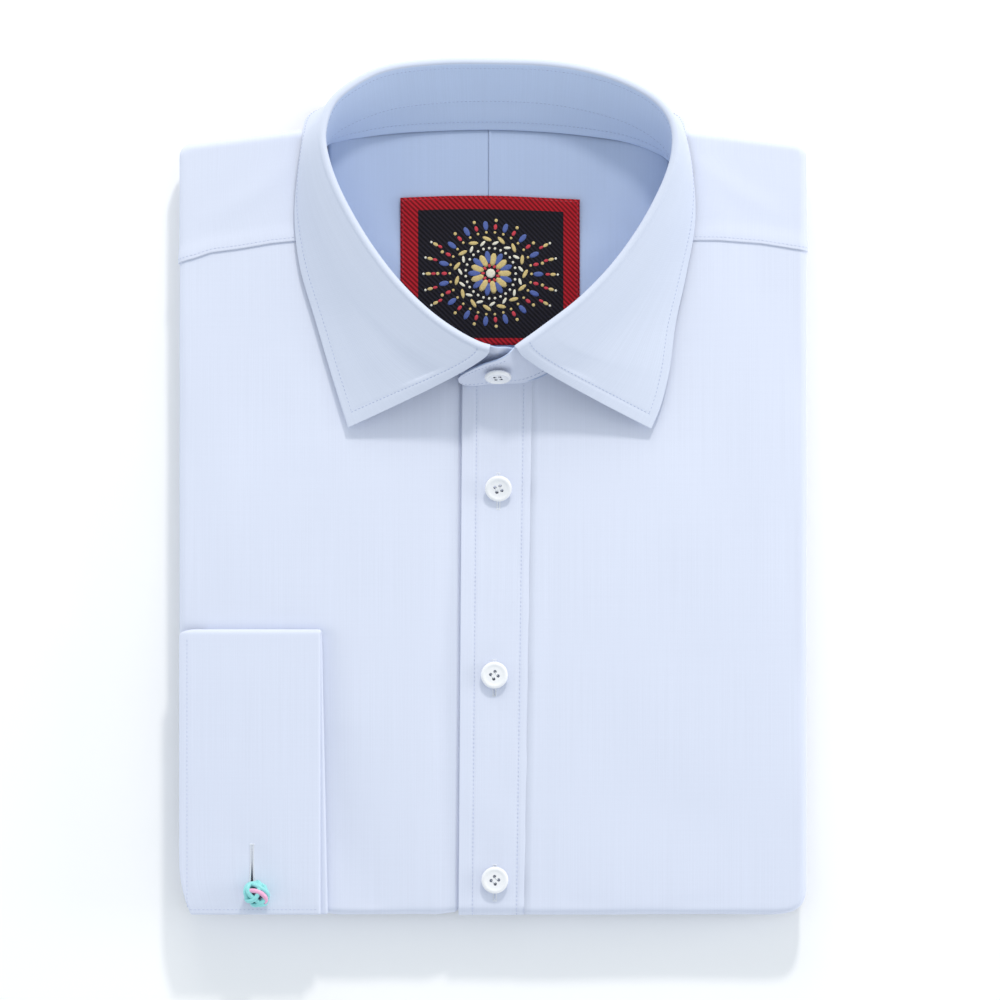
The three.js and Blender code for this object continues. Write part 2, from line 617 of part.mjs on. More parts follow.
// Inner yoke on one side of the centre seam, on the floor of the neck well
function innerYoke(side) {
  const farX = side < 0 ? wellEnds.rightX : wellEnds.leftX;
  const columnLines = evenly(8, yokeCentreX + side * seamGap / 2, farX);
  const surface = (x, share, out) => {
    const y = lerp(wellFront(x), wellBack(x) - 0.4, share);
    return new THREE.Vector3(x, y, innerYokeTop(x, y) + out);
  };
  return clothSheet(evenly(9), columnLines, surface, -clothWall, 0);
}

function neckLabel() {
  const surface = (x, y, out) => new THREE.Vector3(x, y, innerYokeTop(x, y) + seamGap + out);
  return clothSheet(
    evenly(8, label.bottomY, label.topY), evenly(8, label.leftX, label.rightX), surface, 0, labelWall);
}

// Collar curves: one smooth curve through each named column of the table
function curveOf(rows, prefix) {
  const columns = ['X', 'Y', 'Z'].map((axis) => prefix + axis);
  const points = rows.map((row) => new THREE.Vector3(...columns.map((column) => row[column])));
  return new THREE.CatmullRomCurve3(points, false, 'centripetal');
}

const seamCurve = curveOf(standSections, 'seam');
const rollCurve = curveOf(standSections, 'roll');
const edgeCurve = curveOf(leafSections, 'edge');
const lastStand = standSections.length - 1;
const firstLeaf = leafSections[0].section;
const lastLeaf = leafSections[leafSections.length - 1].section;

// Directions at a stand section: up the stand, out of the ring, and square to the stand
function standFrame(section) {
  const share = clamp(section / lastStand, 0, 1);
  const seam = seamCurve.getPoint(share);
  const roll = rollCurve.getPoint(share);
  const up = roll.clone().sub(seam).normalize();
  const before = rollCurve.getPoint(Math.max(share - 0.01, 0));
  const after = rollCurve.getPoint(Math.min(share + 0.01, 1));
  const along = after.sub(before);
  const away = new THREE.Vector3(along.y, -along.x, 0).normalize();
  const fromCentre = new THREE.Vector3(roll.x - collarCentre.x, roll.y - collarCentre.y, 0);
  if (away.dot(fromCentre) < 0) {
    away.negate();
  }
  const square = away.clone().addScaledVector(up, -away.dot(up)).normalize();
  return { seam, roll, up, away, square };
}

// Where the stand's middle ends under the leaf, or at its free top edge
function standTop(section) {
  const { roll, up, square } = standFrame(section);
  const underLeaf = smoothstep(section, firstLeaf - 0.5, firstLeaf) *
    (1 - smoothstep(section, lastLeaf, lastLeaf + 0.5));
  return roll.clone()
    .addScaledVector(up, -(foldRadius + seamGap) * underLeaf)
    .addScaledVector(square, -foldRadius * underLeaf);
}

function collarStand() {
  const surface = (column, row) => {
    const section = column * lastStand;
    return standFrame(section).seam.lerp(standTop(section), row);
  };
  return centredSheet(evenly(4), evenly(lastStand * 2), surface, collarWall);
}

function leafColumn(share, column) {
  const rows = leafSections.map((row, index) => ({ ...row, share: index / (leafSections.length - 1) }));
  return readTable(rows, 'share', share, column);
}

// The leaf: over the fold, then down to its outer edge
function leafPoint(share, row) {
  const { roll, up, away, square } = standFrame(leafColumn(share, 'section'));
  const foldShare = 0.3;
  const centre = roll.clone().addScaledVector(up, -foldRadius);
  const onFold = (angle) => centre.clone()
    .addScaledVector(square, -foldRadius * Math.cos(angle))
    .addScaledVector(up, foldRadius * Math.sin(angle));
  if (row <= foldShare) {
    return onFold((row / foldShare) * Math.PI);
  }
  const start = onFold(Math.PI);
  const turn = start.clone()
    .addScaledVector(up, -leafColumn(share, 'hang'))
    .addScaledVector(away, leafColumn(share, 'bulge'));
  const end = edgeCurve.getPoint(share);
  const t = (row - foldShare) / (1 - foldShare);
  return start.multiplyScalar((1 - t) ** 2)
    .addScaledVector(turn, 2 * t * (1 - t))
    .addScaledVector(end, t ** 2);
}

function collarLeaf() {
  const rowLines = [0, 0.075, 0.15, 0.225, 0.3, 0.36, 0.46, 0.58, 0.72, 0.86, 1];
  const surface = (column, row) => leafPoint(column, row);
  return centredSheet(rowLines, evenly(50), surface, collarWall);
}

// Double cuff: one band folded back on itself at the hand, then folded double round the wrist.
// across runs from the band's loose edge to the hand's fold and back, around from the
// lower half's end to the top fold and back to the upper half's end.
function cuffPoint(across, around, out) {
  const middle = cuffLayer + seamGap;
  const layerStep = (cuffLayer + seamGap) / 2;
  const foldAngle = clamp((across - cuffFolds.hand) / (1 - 2 * cuffFolds.hand), 0, 1) * Math.PI;
  const radius = middle + (layerStep + out) * Math.cos(foldAngle);
  const wristAngle = clamp((around - cuffFolds.wrist) / (1 - 2 * cuffFolds.wrist), 0, 1) * Math.PI;
  const upper = (1 - Math.cos(wristAngle)) / 2;
  const flare = (1 - upper) * lerp(cuffFlare.top, cuffFlare.end, clamp(1 - around / cuffFolds.wrist, 0, 1));
  const loose = lerp(cuffUnderEdgeX, cuffSize.leftX, upper);
  const hand = cuffSize.rightX + flare - (layerStep + cuffLayer / 2);
  const run = clamp(Math.min(across, 1 - across) / cuffFolds.hand, 0, 1);
  const farX = across < 0.5 ? loose : cuffInnerEdgeX;
  const handReach = (layerStep + out) * Math.sin(foldAngle);
  const lengthShare = clamp(Math.min(around, 1 - around) / cuffFolds.wrist, 0, 1);
  const foldY = cuffSize.topY - (middle + layerStep + cuffLayer / 2);
  const y = lerp(cuffSize.bottomY, foldY, lengthShare) + radius * Math.sin(wristAngle);
  const cornerShare = clamp((cuffCorner.topY - y) / (cuffCorner.topY - cuffSize.bottomY), 0, 1);
  const corner = cornerShare ** 2 * cuffCorner.inset * upper * (across < 0.5 ? 1 - run : 0);
  const x = lerp(farX, hand, run) + handReach + corner;
  const restX = clamp(x, -flatX, flatX);
  const restY = clamp(y, flatBottomY, 0);
  const past = Math.hypot(x - restX, y - restY);
  const underside = stackTop(restX, restY, pressing.right) + coverOut + seamGap;
  const middleZ = underside + middle + layerStep + cuffLayer / 2;
  return new THREE.Vector3(x, y, middleZ - radius * Math.cos(wristAngle) - cuffDroop * past ** 2);
}

function cuff() {
  const acrossLines = [0, 0.042, 0.1, 0.22, 0.36, 0.44, 0.47, 0.5, 0.53, 0.56, 0.66, 0.8, 1];
  const lowerLines = [0, 0.0206, 0.07, 0.16, 0.3, 0.43, 0.46];
  const foldLines = [0.48, 0.5, 0.52];
  const upperLines = [0.54, 0.57, 0.7, 0.84, 0.9, 0.93, 0.955, 0.9794, 1];
  const aroundLines = [...lowerLines, ...foldLines, ...upperLines];
  const body = toSolid(clothSheet(aroundLines, acrossLines, cuffPoint, -cuffLayer / 2, cuffLayer / 2));
  const slit = new THREE.BoxGeometry(cuffSlit.width, cuffSlit.length, cuffSlit.depth);
  slit.translate(cuffSlit.x, cuffSlit.y, cuffSlit.z);
  return fromSolid(body.subtract(toSolid(slit)));
}

// Flattened sleeve, from inside the cuff round the side into the fold of the layers
function sleeveEnd() {
  const surface = (column, row, share) => {
    const lift = column < 0 ? 0 : column;
    const x = column < 0 ? -flatX + column * wrapLength : lerp(-flatX, cuffInnerEdgeX - seamGap, column);
    const inner = lerp(coverOut + seamGap, coverOut + seamGap + cuffLayer + seamGap, lift);
    const thick = lerp(sleeveWall, 2 * cuffLayer, lift);
    return coverPoint(x, row, inner + thick * share, pressing.right);
  };
  const rowLines = evenly(8, flatBottomY + 1, cuffSize.topY - 4);
  const deepestWrap = 0.88;
  const sideLines = upperWraps.filter((wrap) => wrap < deepestWrap).map((wrap) => -wrap);
  const columnLines = [-deepestWrap, ...sideLines.reverse(), 0, 0.5, 1];
  return clothSheet(rowLines, columnLines, surface, 0, 1);
}

// A round button with a raised rim and four sewing holes
function buttonSolid() {
  const half = buttonHeight / 2;
  const rim = buttonRim.map(({ inset, height }) => new THREE.Vector2(buttonRadius - inset, height - half));
  const profile = [new THREE.Vector2(0, -half), ...rim, new THREE.Vector2(0, buttonFaceHeight - half)];
  const body = new THREE.LatheGeometry(profile, 20);
  body.rotateX(Math.PI / 2);
  let solid = toSolid(body);
  for (let quarter = 0; quarter < 4; quarter += 1) {
    const hole = new THREE.CylinderGeometry(buttonHole.radius, buttonHole.radius, buttonHeight * 2, 8);
    hole.rotateX(Math.PI / 2);
    const angle = (quarter + 0.5) * (Math.PI / 2);
    hole.translate(buttonHole.out * Math.cos(angle), buttonHole.out * Math.sin(angle), 0);
    solid = solid.subtract(toSolid(hole));
  }
  return solid;
}

const buttonGeometry = fromSolid(buttonSolid());

function addButton(name, x, y, z, tiltDegrees, turnDegrees) {
  const button = addPiece(name, buttonGeometry.clone(), resin);
  button.rotation.set(THREE.MathUtils.degToRad(tiltDegrees), 0, THREE.MathUtils.degToRad(turnDegrees), 'XYZ');
  button.position.set(x, y, z);
}

function placketSurfaceZ(x, y) {
  return stackTop(x, y, pressing.right) + coverOut + seamGap + clothWall;
}

function addButtons() {
  for (const { name, x, y, tilt, turn } of buttons) {
    const tiltRise = (buttonRadius - buttonBaseInset) * Math.sin(THREE.MathUtils.degToRad(tilt));
    const z = placketSurfaceZ(x, y) + seamGap + buttonHeight / 2 + tiltRise;
    addButton(name, x, y, z, tilt, turn);
  }
  const { seam, roll, up } = standFrame(collarButton.section);
  const centre = seam.clone().lerp(roll, collarButton.standShare);
  const facing = new THREE.Vector3(0, -up.z, up.y).normalize();
  centre.addScaledVector(facing, collarWall / 2 + seamGap + buttonHeight / 2);
  const tilt = THREE.MathUtils.radToDeg(Math.atan2(up.z, up.y));
  addButton('collar_button', collarButton.x, centre.y, centre.z, tilt, collarButton.turn);
}

// Silk knot: a ball of crossed cords on a stem that goes down into the cuff's buttonhole
function silkKnot() {
  const ball = toSolid(new THREE.IcosahedronGeometry(knotRadius, 2));
  const stem = new THREE.CylinderGeometry(stemRadius, stemRadius, stemLength, 8);
  stem.rotateX(Math.PI / 2);
  stem.translate(cuffSlit.x - knotCentre.x, stemY, stemSunk - knotRadius);
  return fromSolid(ball.add(toSolid(stem)));
}

addPiece('folded_layers', fromSolid(foldedLayers()), poplin);
addPiece('front_right', frontRight(), poplin);
addPiece('front_left', frontLeft(), poplin);
addPiece('placket', placket(), poplin);
addPiece('yoke_outer_right', outerYoke(-1, yokeSeamRight), poplin);
addPiece('yoke_outer_left', outerYoke(1, yokeSeamLeft), poplin);
addPiece('yoke_inner_right', innerYoke(-1), poplinInside);
addPiece('yoke_inner_left', innerYoke(1), poplinInside);
addPiece('neck_label', neckLabel(), labelWeave);
addPiece('collar_stand', collarStand(), poplin);
addPiece('collar_leaf', collarLeaf(), poplin);
addPiece('sleeve_end', sleeveEnd(), poplin);
addPiece('cuff', cuff(), poplin);
addButtons();
const knot = addPiece('silk_knot', silkKnot(), silk);
const underKnot = { across: 0.2, around: 0.97 };
const cuffTop = cuffPoint(underKnot.across, underKnot.around, cuffLayer / 2).z;
knot.position.set(knotCentre.x, knotCentre.y, cuffTop + seamGap + knotRadius);

export default group;
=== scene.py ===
"""A long sleeve dress shirt, folded flat for display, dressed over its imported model.

Lengths in the classes are millimetres and become metres where a mesh is made. +Z points up out of the
shirt's front, +Y to the collar and +X to the wearer's left. "Left" and "right" are the wearer's.
"""

import logging
import math
from dataclasses import dataclass, field
from enum import Enum
from functools import lru_cache
from typing import Callable, Iterable, Optional, Sequence

import bmesh
import bpy
from mathutils import Matrix, Vector


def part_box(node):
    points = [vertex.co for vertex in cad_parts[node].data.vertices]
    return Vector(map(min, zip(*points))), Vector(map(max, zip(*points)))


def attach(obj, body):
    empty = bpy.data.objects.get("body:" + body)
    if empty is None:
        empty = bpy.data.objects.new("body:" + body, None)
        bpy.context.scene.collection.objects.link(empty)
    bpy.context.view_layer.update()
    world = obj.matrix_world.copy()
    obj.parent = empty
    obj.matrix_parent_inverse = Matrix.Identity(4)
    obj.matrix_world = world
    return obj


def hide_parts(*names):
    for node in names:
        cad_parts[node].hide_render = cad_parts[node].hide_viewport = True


logging.basicConfig(level=logging.INFO, format="%(message)s")
LOG = logging.getLogger("shirt")

MM = 0.001
UV_MM = 0.01
BODY = "root"

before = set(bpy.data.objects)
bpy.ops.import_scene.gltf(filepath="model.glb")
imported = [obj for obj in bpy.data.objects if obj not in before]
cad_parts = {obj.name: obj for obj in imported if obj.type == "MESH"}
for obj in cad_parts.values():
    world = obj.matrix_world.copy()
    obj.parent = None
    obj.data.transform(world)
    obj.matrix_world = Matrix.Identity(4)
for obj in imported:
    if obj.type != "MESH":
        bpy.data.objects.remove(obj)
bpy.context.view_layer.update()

Surface = Callable[[float, float], Vector]
Trace = list[tuple[Vector, Vector]]


class Press(Enum):
    """What presses the layers down from above."""

    NONE = "none"
    RIGHT = "right"


class Slot(Enum):
    """The record's material slots."""

    POPLIN = "poplin"
    LABEL = "label_weave"
    RESIN = "button_resin"
    SILK = "silk_cord"


def clamp(value: float, low: float, high: float) -> float:
    """Returns value kept between low and high."""
    return min(max(value, low), high)


def lerp(start: float, end: float, share: float) -> float:
    """Returns the number at a share of the way from start to end."""
    return start + (end - start) * share


def smoothstep(value: float, low: float, high: float) -> float:
    """Returns 0 below low and 1 above high, with a soft rise between."""
    share = clamp((value - low) / (high - low), 0.0, 1.0)
    return share * share * (3.0 - 2.0 * share)


def evenly(count: int, start: float = 0.0, end: float = 1.0) -> list[float]:
    """Returns count + 1 evenly spaced numbers from start to end."""
    return [lerp(start, end, index / count) for index in range(count + 1)]


def between(stops: Sequence[float], gaps: Sequence[int]) -> list[float]:
    """Divides the stretches between stops.

    Args:
        stops: The numbers that the lines pass through, in order.
        gaps: How many parts each stretch is divided into.

    Returns:
        The lines, each stop once.
    """
    lines = [stops[0]]
    for start, end, count in zip(stops, stops[1:], gaps):
        lines.extend(evenly(count, start, end)[1:])
    return lines


def read_table(rows: Sequence[tuple[float, float]], value: float) -> float:
    """Reads a table of (place, number) rows in straight lines between its rows.

    Args:
        rows: The rows, in order of place.
        value: The place to read at.

    Returns:
        The number there, or the end row's beyond the table.
    """
    if value <= rows[0][0]:
        return rows[0][1]
    for (before, low), (after, high) in zip(rows, rows[1:]):
        if value <= after:
            return lerp(low, high, (value - before) / (after - before))
    return rows[-1][1]


@dataclass(frozen=True)
class Crease:
    """A soft fold laid along a given line: a ridge where depth is positive, a trough where negative."""

    line: tuple[tuple[float, float], ...]
    width: float
    depth: float

    def height(self, x: float, y: float) -> float:
        """Gives the crease's height over the cloth.

        Args:
            x: Place across.
            y: Place along.

        Returns:
            The height, fading out to both ends of the line and to its sides.
        """
        stretches = len(self.line) - 1
        nearest, place = 1e9, 0.0
        for index, ((x0, y0), (x1, y1)) in enumerate(zip(self.line, self.line[1:])):
            run_x, run_y = x1 - x0, y1 - y0
            share = ((x - x0) * run_x + (y - y0) * run_y) / (run_x * run_x + run_y * run_y)
            share = clamp(share, 0.0, 1.0)
            away = math.hypot(x - x0 - share * run_x, y - y0 - share * run_y)
            if away < nearest:
                nearest, place = away, (index + share) / stretches
        if nearest > 3.0 * self.width:
            return 0.0
        fade = math.sin(math.pi * clamp(place, 0.0, 1.0)) ** 0.7
        return self.depth * fade * math.exp(-((nearest / self.width) ** 2))


class SmoothCurve:
    """One smooth curve through a list of points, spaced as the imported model's curves are."""

    def __init__(self, points: Sequence[Vector]) -> None:
        """Keeps the points that the curve passes through."""
        self.points = [point.copy() for point in points]

    def at(self, share: float) -> Vector:
        """Gives a point of the curve.

        Args:
            share: Place along the curve, 0 at its first point and 1 at its last.

        Returns:
            The point.
        """
        last = len(self.points) - 1
        place = clamp(share, 0.0, 1.0) * last
        index = min(int(place), last - 1)
        weight = place - index
        p1, p2 = self.points[index], self.points[index + 1]
        p0 = self.points[index - 1] if index > 0 else p1 * 2 - p2
        p3 = self.points[index + 2] if index + 2 <= last else p2 * 2 - p1
        d0, d1, d2 = (max((b - a).length, 1e-4) ** 0.5 for a, b in ((p0, p1), (p1, p2), (p2, p3)))
        t1 = ((p1 - p0) / d0 - (p2 - p0) / (d0 + d1) + (p2 - p1) / d1) * d1
        t2 = ((p2 - p1) / d1 - (p3 - p1) / (d1 + d2) + (p3 - p2) / d2) * d1
        square, cube = weight**2, weight**3
        bend = p2 * 3 - p1 * 3 - t1 * 2 - t2
        twist = p1 * 2 - p2 * 2 + t1 + t2
        return p1 + t1 * weight + bend * square + twist * cube


@dataclass
class BodyForm:
    """The folded body's form: where the layers lie and where a cloth on them lies."""

    half_width: float = 132.5
    bottom_y: float = -180.6
    shoulder_neck: tuple[float, float] = (76.0, 151.9)
    shoulder_end_y: float = 144.7
    stack_height: float = 18.5
    crown_height: float = 3.4
    crown_centre_y: float = -18.0
    crown_half_length: float = 165.0
    cover_out: float = 1.7
    seam_gap: float = 0.3
    side_reach: float = 4.0
    side_tuck_z: float = 9.9
    hem_reach: float = 4.0
    hem_tuck_z: float = 2.7
    wrap_length: float = 12.0
    wrap_angle: float = math.radians(150)
    side_recess: float = 1.7
    roll_squareness: float = 0.5
    roll_flatness: float = 2.0
    corner_cut: tuple[float, float] = (9.5, 6.5)
    placket_left: tuple[float, float] = (-13.0, -14.6)
    placket_right: tuple[float, float] = (19.2, 15.8)
    placket_top_y: float = 42.6
    placket_dip: float = 1.0
    placket_top_edge: tuple = ((-13.0, 42.4), (14.0, 43.7), (19.5, 45.6))
    cuff_right_x: float = -72.6
    cuff_top_y: float = -59.7
    cuff_dip: float = 0.9
    yoke_seam_right: tuple = (
        (-132.0, 94.5), (-119.0, 99.0), (-107.0, 100.5), (-93.7, 102.8), (-83.0, 103.9), (-60.0, 106.5))
    yoke_seam_left: tuple = ((60.0, 104.1), (95.3, 104.1), (113.1, 102.8), (123.4, 101.2), (132.4, 99.5))
    well_floor_z: float = 13.0
    well_back_rise: float = 3.6
    well_side_rise: float = 3.2
    well_ends: tuple[float, float] = (-69.6, 75.2)
    well_front_y: float = 49.0

    def __post_init__(self) -> None:
        """Works out where the flat top ends."""
        self.flat_x = self.half_width - self.side_reach - self.cover_out
        self.flat_bottom_y = self.bottom_y + self.hem_reach + self.cover_out

    def flat_top_y(self, x: float) -> float:
        """Returns where the flat top ends at the shoulder, at x."""
        neck_x, neck_y = self.shoulder_neck
        share = clamp((abs(x) - neck_x) / (self.half_width - neck_x), 0.0, 1.0)
        return lerp(neck_y, self.shoulder_end_y, share) - self.side_reach - self.cover_out

    def placket_share(self, y: float) -> float:
        """Returns how far down the placket a height y lies."""
        return clamp((self.placket_top_y - y) / (self.placket_top_y - self.bottom_y), 0.0, 1.0)

    def placket_left_x(self, y: float) -> float:
        """Returns the placket's edge on the wearer's right at y."""
        return lerp(*self.placket_left, self.placket_share(y))

    def placket_right_x(self, y: float) -> float:
        """Returns the placket's edge on the wearer's left at y."""
        return lerp(*self.placket_right, self.placket_share(y))

    def pressed(self, x: float, y: float, press: Press) -> float:
        """Gives how far the cloth is pressed down.

        Args:
            x: Place across.
            y: Place along.
            press: What presses it.

        Returns:
            The depth.
        """
        if press is Press.NONE:
            return 0.0
        left = self.placket_left_x(y)
        under_placket = self.placket_dip * smoothstep(x, left - 10, left - 1)
        across = 1 - smoothstep(x, self.cuff_right_x - 1, self.cuff_right_x + 8)
        along = 1 - smoothstep(y, self.cuff_top_y - 3, self.cuff_top_y + 3)
        return under_placket + self.cuff_dip * across * along

    def stack_top(self, x: float, y: float, press: Press) -> float:
        """Gives the height of the layers' top.

        Args:
            x: Place across.
            y: Place along.
            press: What presses it down.

        Returns:
            The height over the surface that the shirt lies on.
        """
        across = 1 - (x / self.half_width) ** 2
        along = 1 - ((y - self.crown_centre_y) / self.crown_half_length) ** 2
        crown = self.crown_height * max(across, 0.0) * max(along, 0.0)
        return self.stack_height + crown - self.pressed(x, y, press)

    def recess(self, x: float, y: float) -> float:
        """Returns how far the side gives way under the sleeve at (x, y)."""
        return self.side_recess * (1 - smoothstep(y, self.cuff_top_y - 7, self.cuff_top_y - 1)) if x < 0 else 0.0

    def layer_point(self, x: float, y: float, press: Press) -> Vector:
        """Gives a point of the layers' outside, round the rolled edges too.

        Args:
            x: Place across, along the cloth.
            y: Place along, along the cloth.
            press: What presses the layers down.

        Returns:
            The point.
        """
        flat_here = clamp(x, -self.flat_x, self.flat_x)
        top_limit = self.flat_top_y(flat_here)
        rest_y = clamp(y, self.flat_bottom_y, top_limit)
        side_wrap = max(abs(x) - self.flat_x, 0.0) / self.wrap_length
        end_wrap = max(y - top_limit, self.flat_bottom_y - y, 0.0) / self.wrap_length
        wrap = max(side_wrap, end_wrap)
        top_z = self.stack_top(flat_here, rest_y, press)
        if wrap == 0:
            return self.cut_corner(Vector((flat_here, rest_y, top_z)))
        turn_share = 0.5 * end_wrap / wrap if side_wrap >= end_wrap else 1 - 0.5 * side_wrap / wrap
        turn = math.pi / 2 * turn_share
        angle = self.wrap_angle * wrap
        depth_share = ((1 - math.cos(angle)) / (1 - math.cos(self.wrap_angle))) ** self.roll_flatness
        hem_end = y < self.flat_bottom_y
        side_z = lerp(top_z, self.side_tuck_z, depth_share)
        end_z = lerp(top_z, self.hem_tuck_z, depth_share) if hem_end else side_z
        end_reach = self.hem_reach - self.pressed(flat_here, rest_y, press) if hem_end else self.side_reach
        swing = math.sin(angle) ** self.roll_squareness
        side_out = (self.side_reach - self.recess(x, rest_y)) * swing
        return self.cut_corner(Vector((
            flat_here + math.copysign(side_out, x) * math.cos(turn),
            rest_y + (-1 if hem_end else 1) * end_reach * swing * math.sin(turn),
            lerp(side_z, end_z, turn_share))))

    def cut_corner(self, point: Vector) -> Vector:
        """Draws a point in where the hem meets a side, whose corner is folded in.

        Args:
            point: The point.

        Returns:
            The point, moved if it is near a lower corner.
        """
        across, along = self.corner_cut
        share = (self.half_width - abs(point.x)) / across + (point.y - self.bottom_y) / along
        if share >= 2:
            return point
        shift = (1 + (max(share, 0.0) / 2) ** 2 - share) / 2
        return point + Vector((-math.copysign(across, point.x) * shift, along * shift, 0.0))

    def cover_point(self, x: float, y: float, out: float, press: Press) -> Vector:
        """Gives a point of a cloth that covers the layers.

        Args:
            x: Place across, along the cloth.
            y: Place along, along the cloth.
            out: Distance from the layers.
            press: What presses the layers down.

        Returns:
            The point.
        """
        step = 0.25
        across = self.layer_point(x + step, y, press) - self.layer_point(x - step, y, press)
        along = self.layer_point(x, y + step, press) - self.layer_point(x, y - step, press)
        return self.layer_point(x, y, press) + across.cross(along).normalized() * out

    def inner_yoke_top(self, x: float, y: float) -> float:
        """Returns the height of the inner yoke's upper face at (x, y)."""
        back = self.well_back_rise * smoothstep(y, 105, 152)
        side = self.well_side_rise * smoothstep(abs(x), 42, 72) * smoothstep(y, 82, 118)
        return self.well_floor_z + back + side

    def well_front(self, x: float) -> float:
        """Returns where the inner yoke ends under the fronts at x."""
        share = clamp(x / self.well_ends[0] if x < 0 else x / self.well_ends[1], 0.0, 1.0)
        return lerp(self.well_front_y, 118.0, share**4)


class NodeSheet:
    """A material's node tree with short calls to add and join its nodes."""

    def __init__(self, name: str) -> None:
        """Starts an empty material."""
        self.material = bpy.data.materials.new(name)
        self.material.use_nodes = True
        self.tree = self.material.node_tree
        self.tree.nodes.clear()
        self.output = self.tree.nodes.new("ShaderNodeOutputMaterial")
        self.shader = self.tree.nodes.new("ShaderNodeBsdfPrincipled")
        self.join(self.shader, 0, self.output, 0)

    def add(self, kind: str, inputs: Optional[dict] = None, **settings: object) -> bpy.types.Node:
        """Adds a node.

        Args:
            kind: The node's type.
            inputs: Socket values, or (node, socket) pairs to join.
            **settings: The node's own settings.

        Returns:
            The node.
        """
        node = self.tree.nodes.new(kind)
        for key, value in settings.items():
            setattr(node, key, value)
        for key, value in (inputs or {}).items():
            if isinstance(value, tuple) and isinstance(value[0], bpy.types.Node):
                self.join(value[0], value[1], node, key)
            else:
                node.inputs[key].default_value = value
        return node

    def join(self, source: bpy.types.Node, output: object, target: bpy.types.Node, socket: object) -> None:
        """Joins two nodes by the names or numbers of their sockets."""
        self.tree.links.new(source.outputs[output], target.inputs[socket])

    def math(self, operation: str, first: object, second: object = 0.0) -> bpy.types.Node:
        """Adds a Math node.

        Args:
            operation: The operation's name.
            first: A number or a (node, socket) pair.
            second: A number or a (node, socket) pair.

        Returns:
            The node.
        """
        return self.add("ShaderNodeMath", {0: first, 1: second}, operation=operation)

    def finish(self, roughness: float, colour: Optional[Sequence[float]] = None, **sockets: float) -> bpy.types.Material:
        """Sets what is the same all over the surface.

        Args:
            roughness: The shader's roughness.
            colour: A base colour, where no node gives it.
            **sockets: Other sockets of the shader, with underscores for spaces.

        Returns:
            The material.
        """
        self.shader.inputs["Roughness"].default_value = roughness
        if colour is not None:
            self.shader.inputs["Base Color"].default_value = (*colour, 1.0)
        for key, value in sockets.items():
            self.shader.inputs[key.replace("_", " ")].default_value = value
        return self.material


@dataclass(frozen=True)
class Poplin:
    """Fine plain woven cotton with faint streaks along its yarns."""

    name: str
    colour: tuple[float, float, float]
    streak: float = 0.022
    weave_depth: float = 0.12

    def material(self) -> bpy.types.Material:
        """Builds the cloth from the piece's own cloth map, one unit to 100 mm."""
        sheet = NodeSheet(self.name)
        cloth = sheet.add("ShaderNodeUVMap", uv_map="cloth")
        warp = self.grain(sheet, cloth, (240.0, 1.5, 1.0), 2.0)
        weft = self.grain(sheet, cloth, (3.1, 260.0, 1.0), 1.0)
        patch = self.grain(sheet, cloth, (2.3, 1.7, 1.0), 1.0)
        shade = sheet.math("MULTIPLY_ADD", (weft, 0), 0.3)
        sheet.join(warp, 0, shade, 2)
        tone = sheet.math("MULTIPLY_ADD", (patch, 0), 0.4)
        sheet.join(shade, 0, tone, 2)
        ramp = sheet.add("ShaderNodeMapRange", {0: (tone, 0), 1: 0.45, 2: 1.25, 3: 0.0, 4: 1.0})
        dark = tuple(channel * (1 - self.streak * 2.0) for channel in self.colour)
        light = tuple(min(channel * (1 + self.streak), 1.0) for channel in self.colour)
        mix = sheet.add("ShaderNodeMix", {0: (ramp, 0), 6: (*dark, 1.0), 7: (*light, 1.0)}, data_type="RGBA")
        sheet.join(mix, 2, sheet.shader, "Base Color")
        weave = self.weave(sheet, cloth)
        height = sheet.math("MULTIPLY_ADD", (warp, 0), 0.5)
        sheet.join(weave, 0, height, 2)
        bump = sheet.add("ShaderNodeBump", {"Strength": self.weave_depth, "Distance": 0.0002, "Height": (height, 0)})
        sheet.join(bump, 0, sheet.shader, "Normal")
        return sheet.finish(0.82, Sheen_Weight=0.18, Sheen_Roughness=0.45, Specular_IOR_Level=0.25)

    @staticmethod
    def grain(sheet: NodeSheet, cloth: bpy.types.Node, scale: tuple, detail: float) -> bpy.types.Node:
        """Adds noise stretched along the yarns.

        Args:
            sheet: The material's nodes.
            cloth: The cloth map.
            scale: Stretch across and along the cloth.
            detail: Fine detail of the noise.

        Returns:
            The noise node.
        """
        mapping = sheet.add("ShaderNodeMapping", {"Vector": (cloth, 0), "Scale": scale})
        return sheet.add("ShaderNodeTexNoise", {"Vector": (mapping, 0), "Scale": 1.0, "Detail": detail})

    @staticmethod
    def weave(sheet: NodeSheet, cloth: bpy.types.Node) -> bpy.types.Node:
        """Adds the over and under of the yarns.

        Args:
            sheet: The material's nodes.
            cloth: The cloth map.

        Returns:
            The node with the weave's height.
        """
        bands = []
        for direction in ("X", "Y"):
            bands.append(sheet.add(
                "ShaderNodeTexWave", {"Vector": (cloth, 0), "Scale": 62.0, "Distortion": 0.6, "Detail": 1.0},
                bands_direction=direction))
        return sheet.math("MULTIPLY", (bands[0], 1), (bands[1], 1))


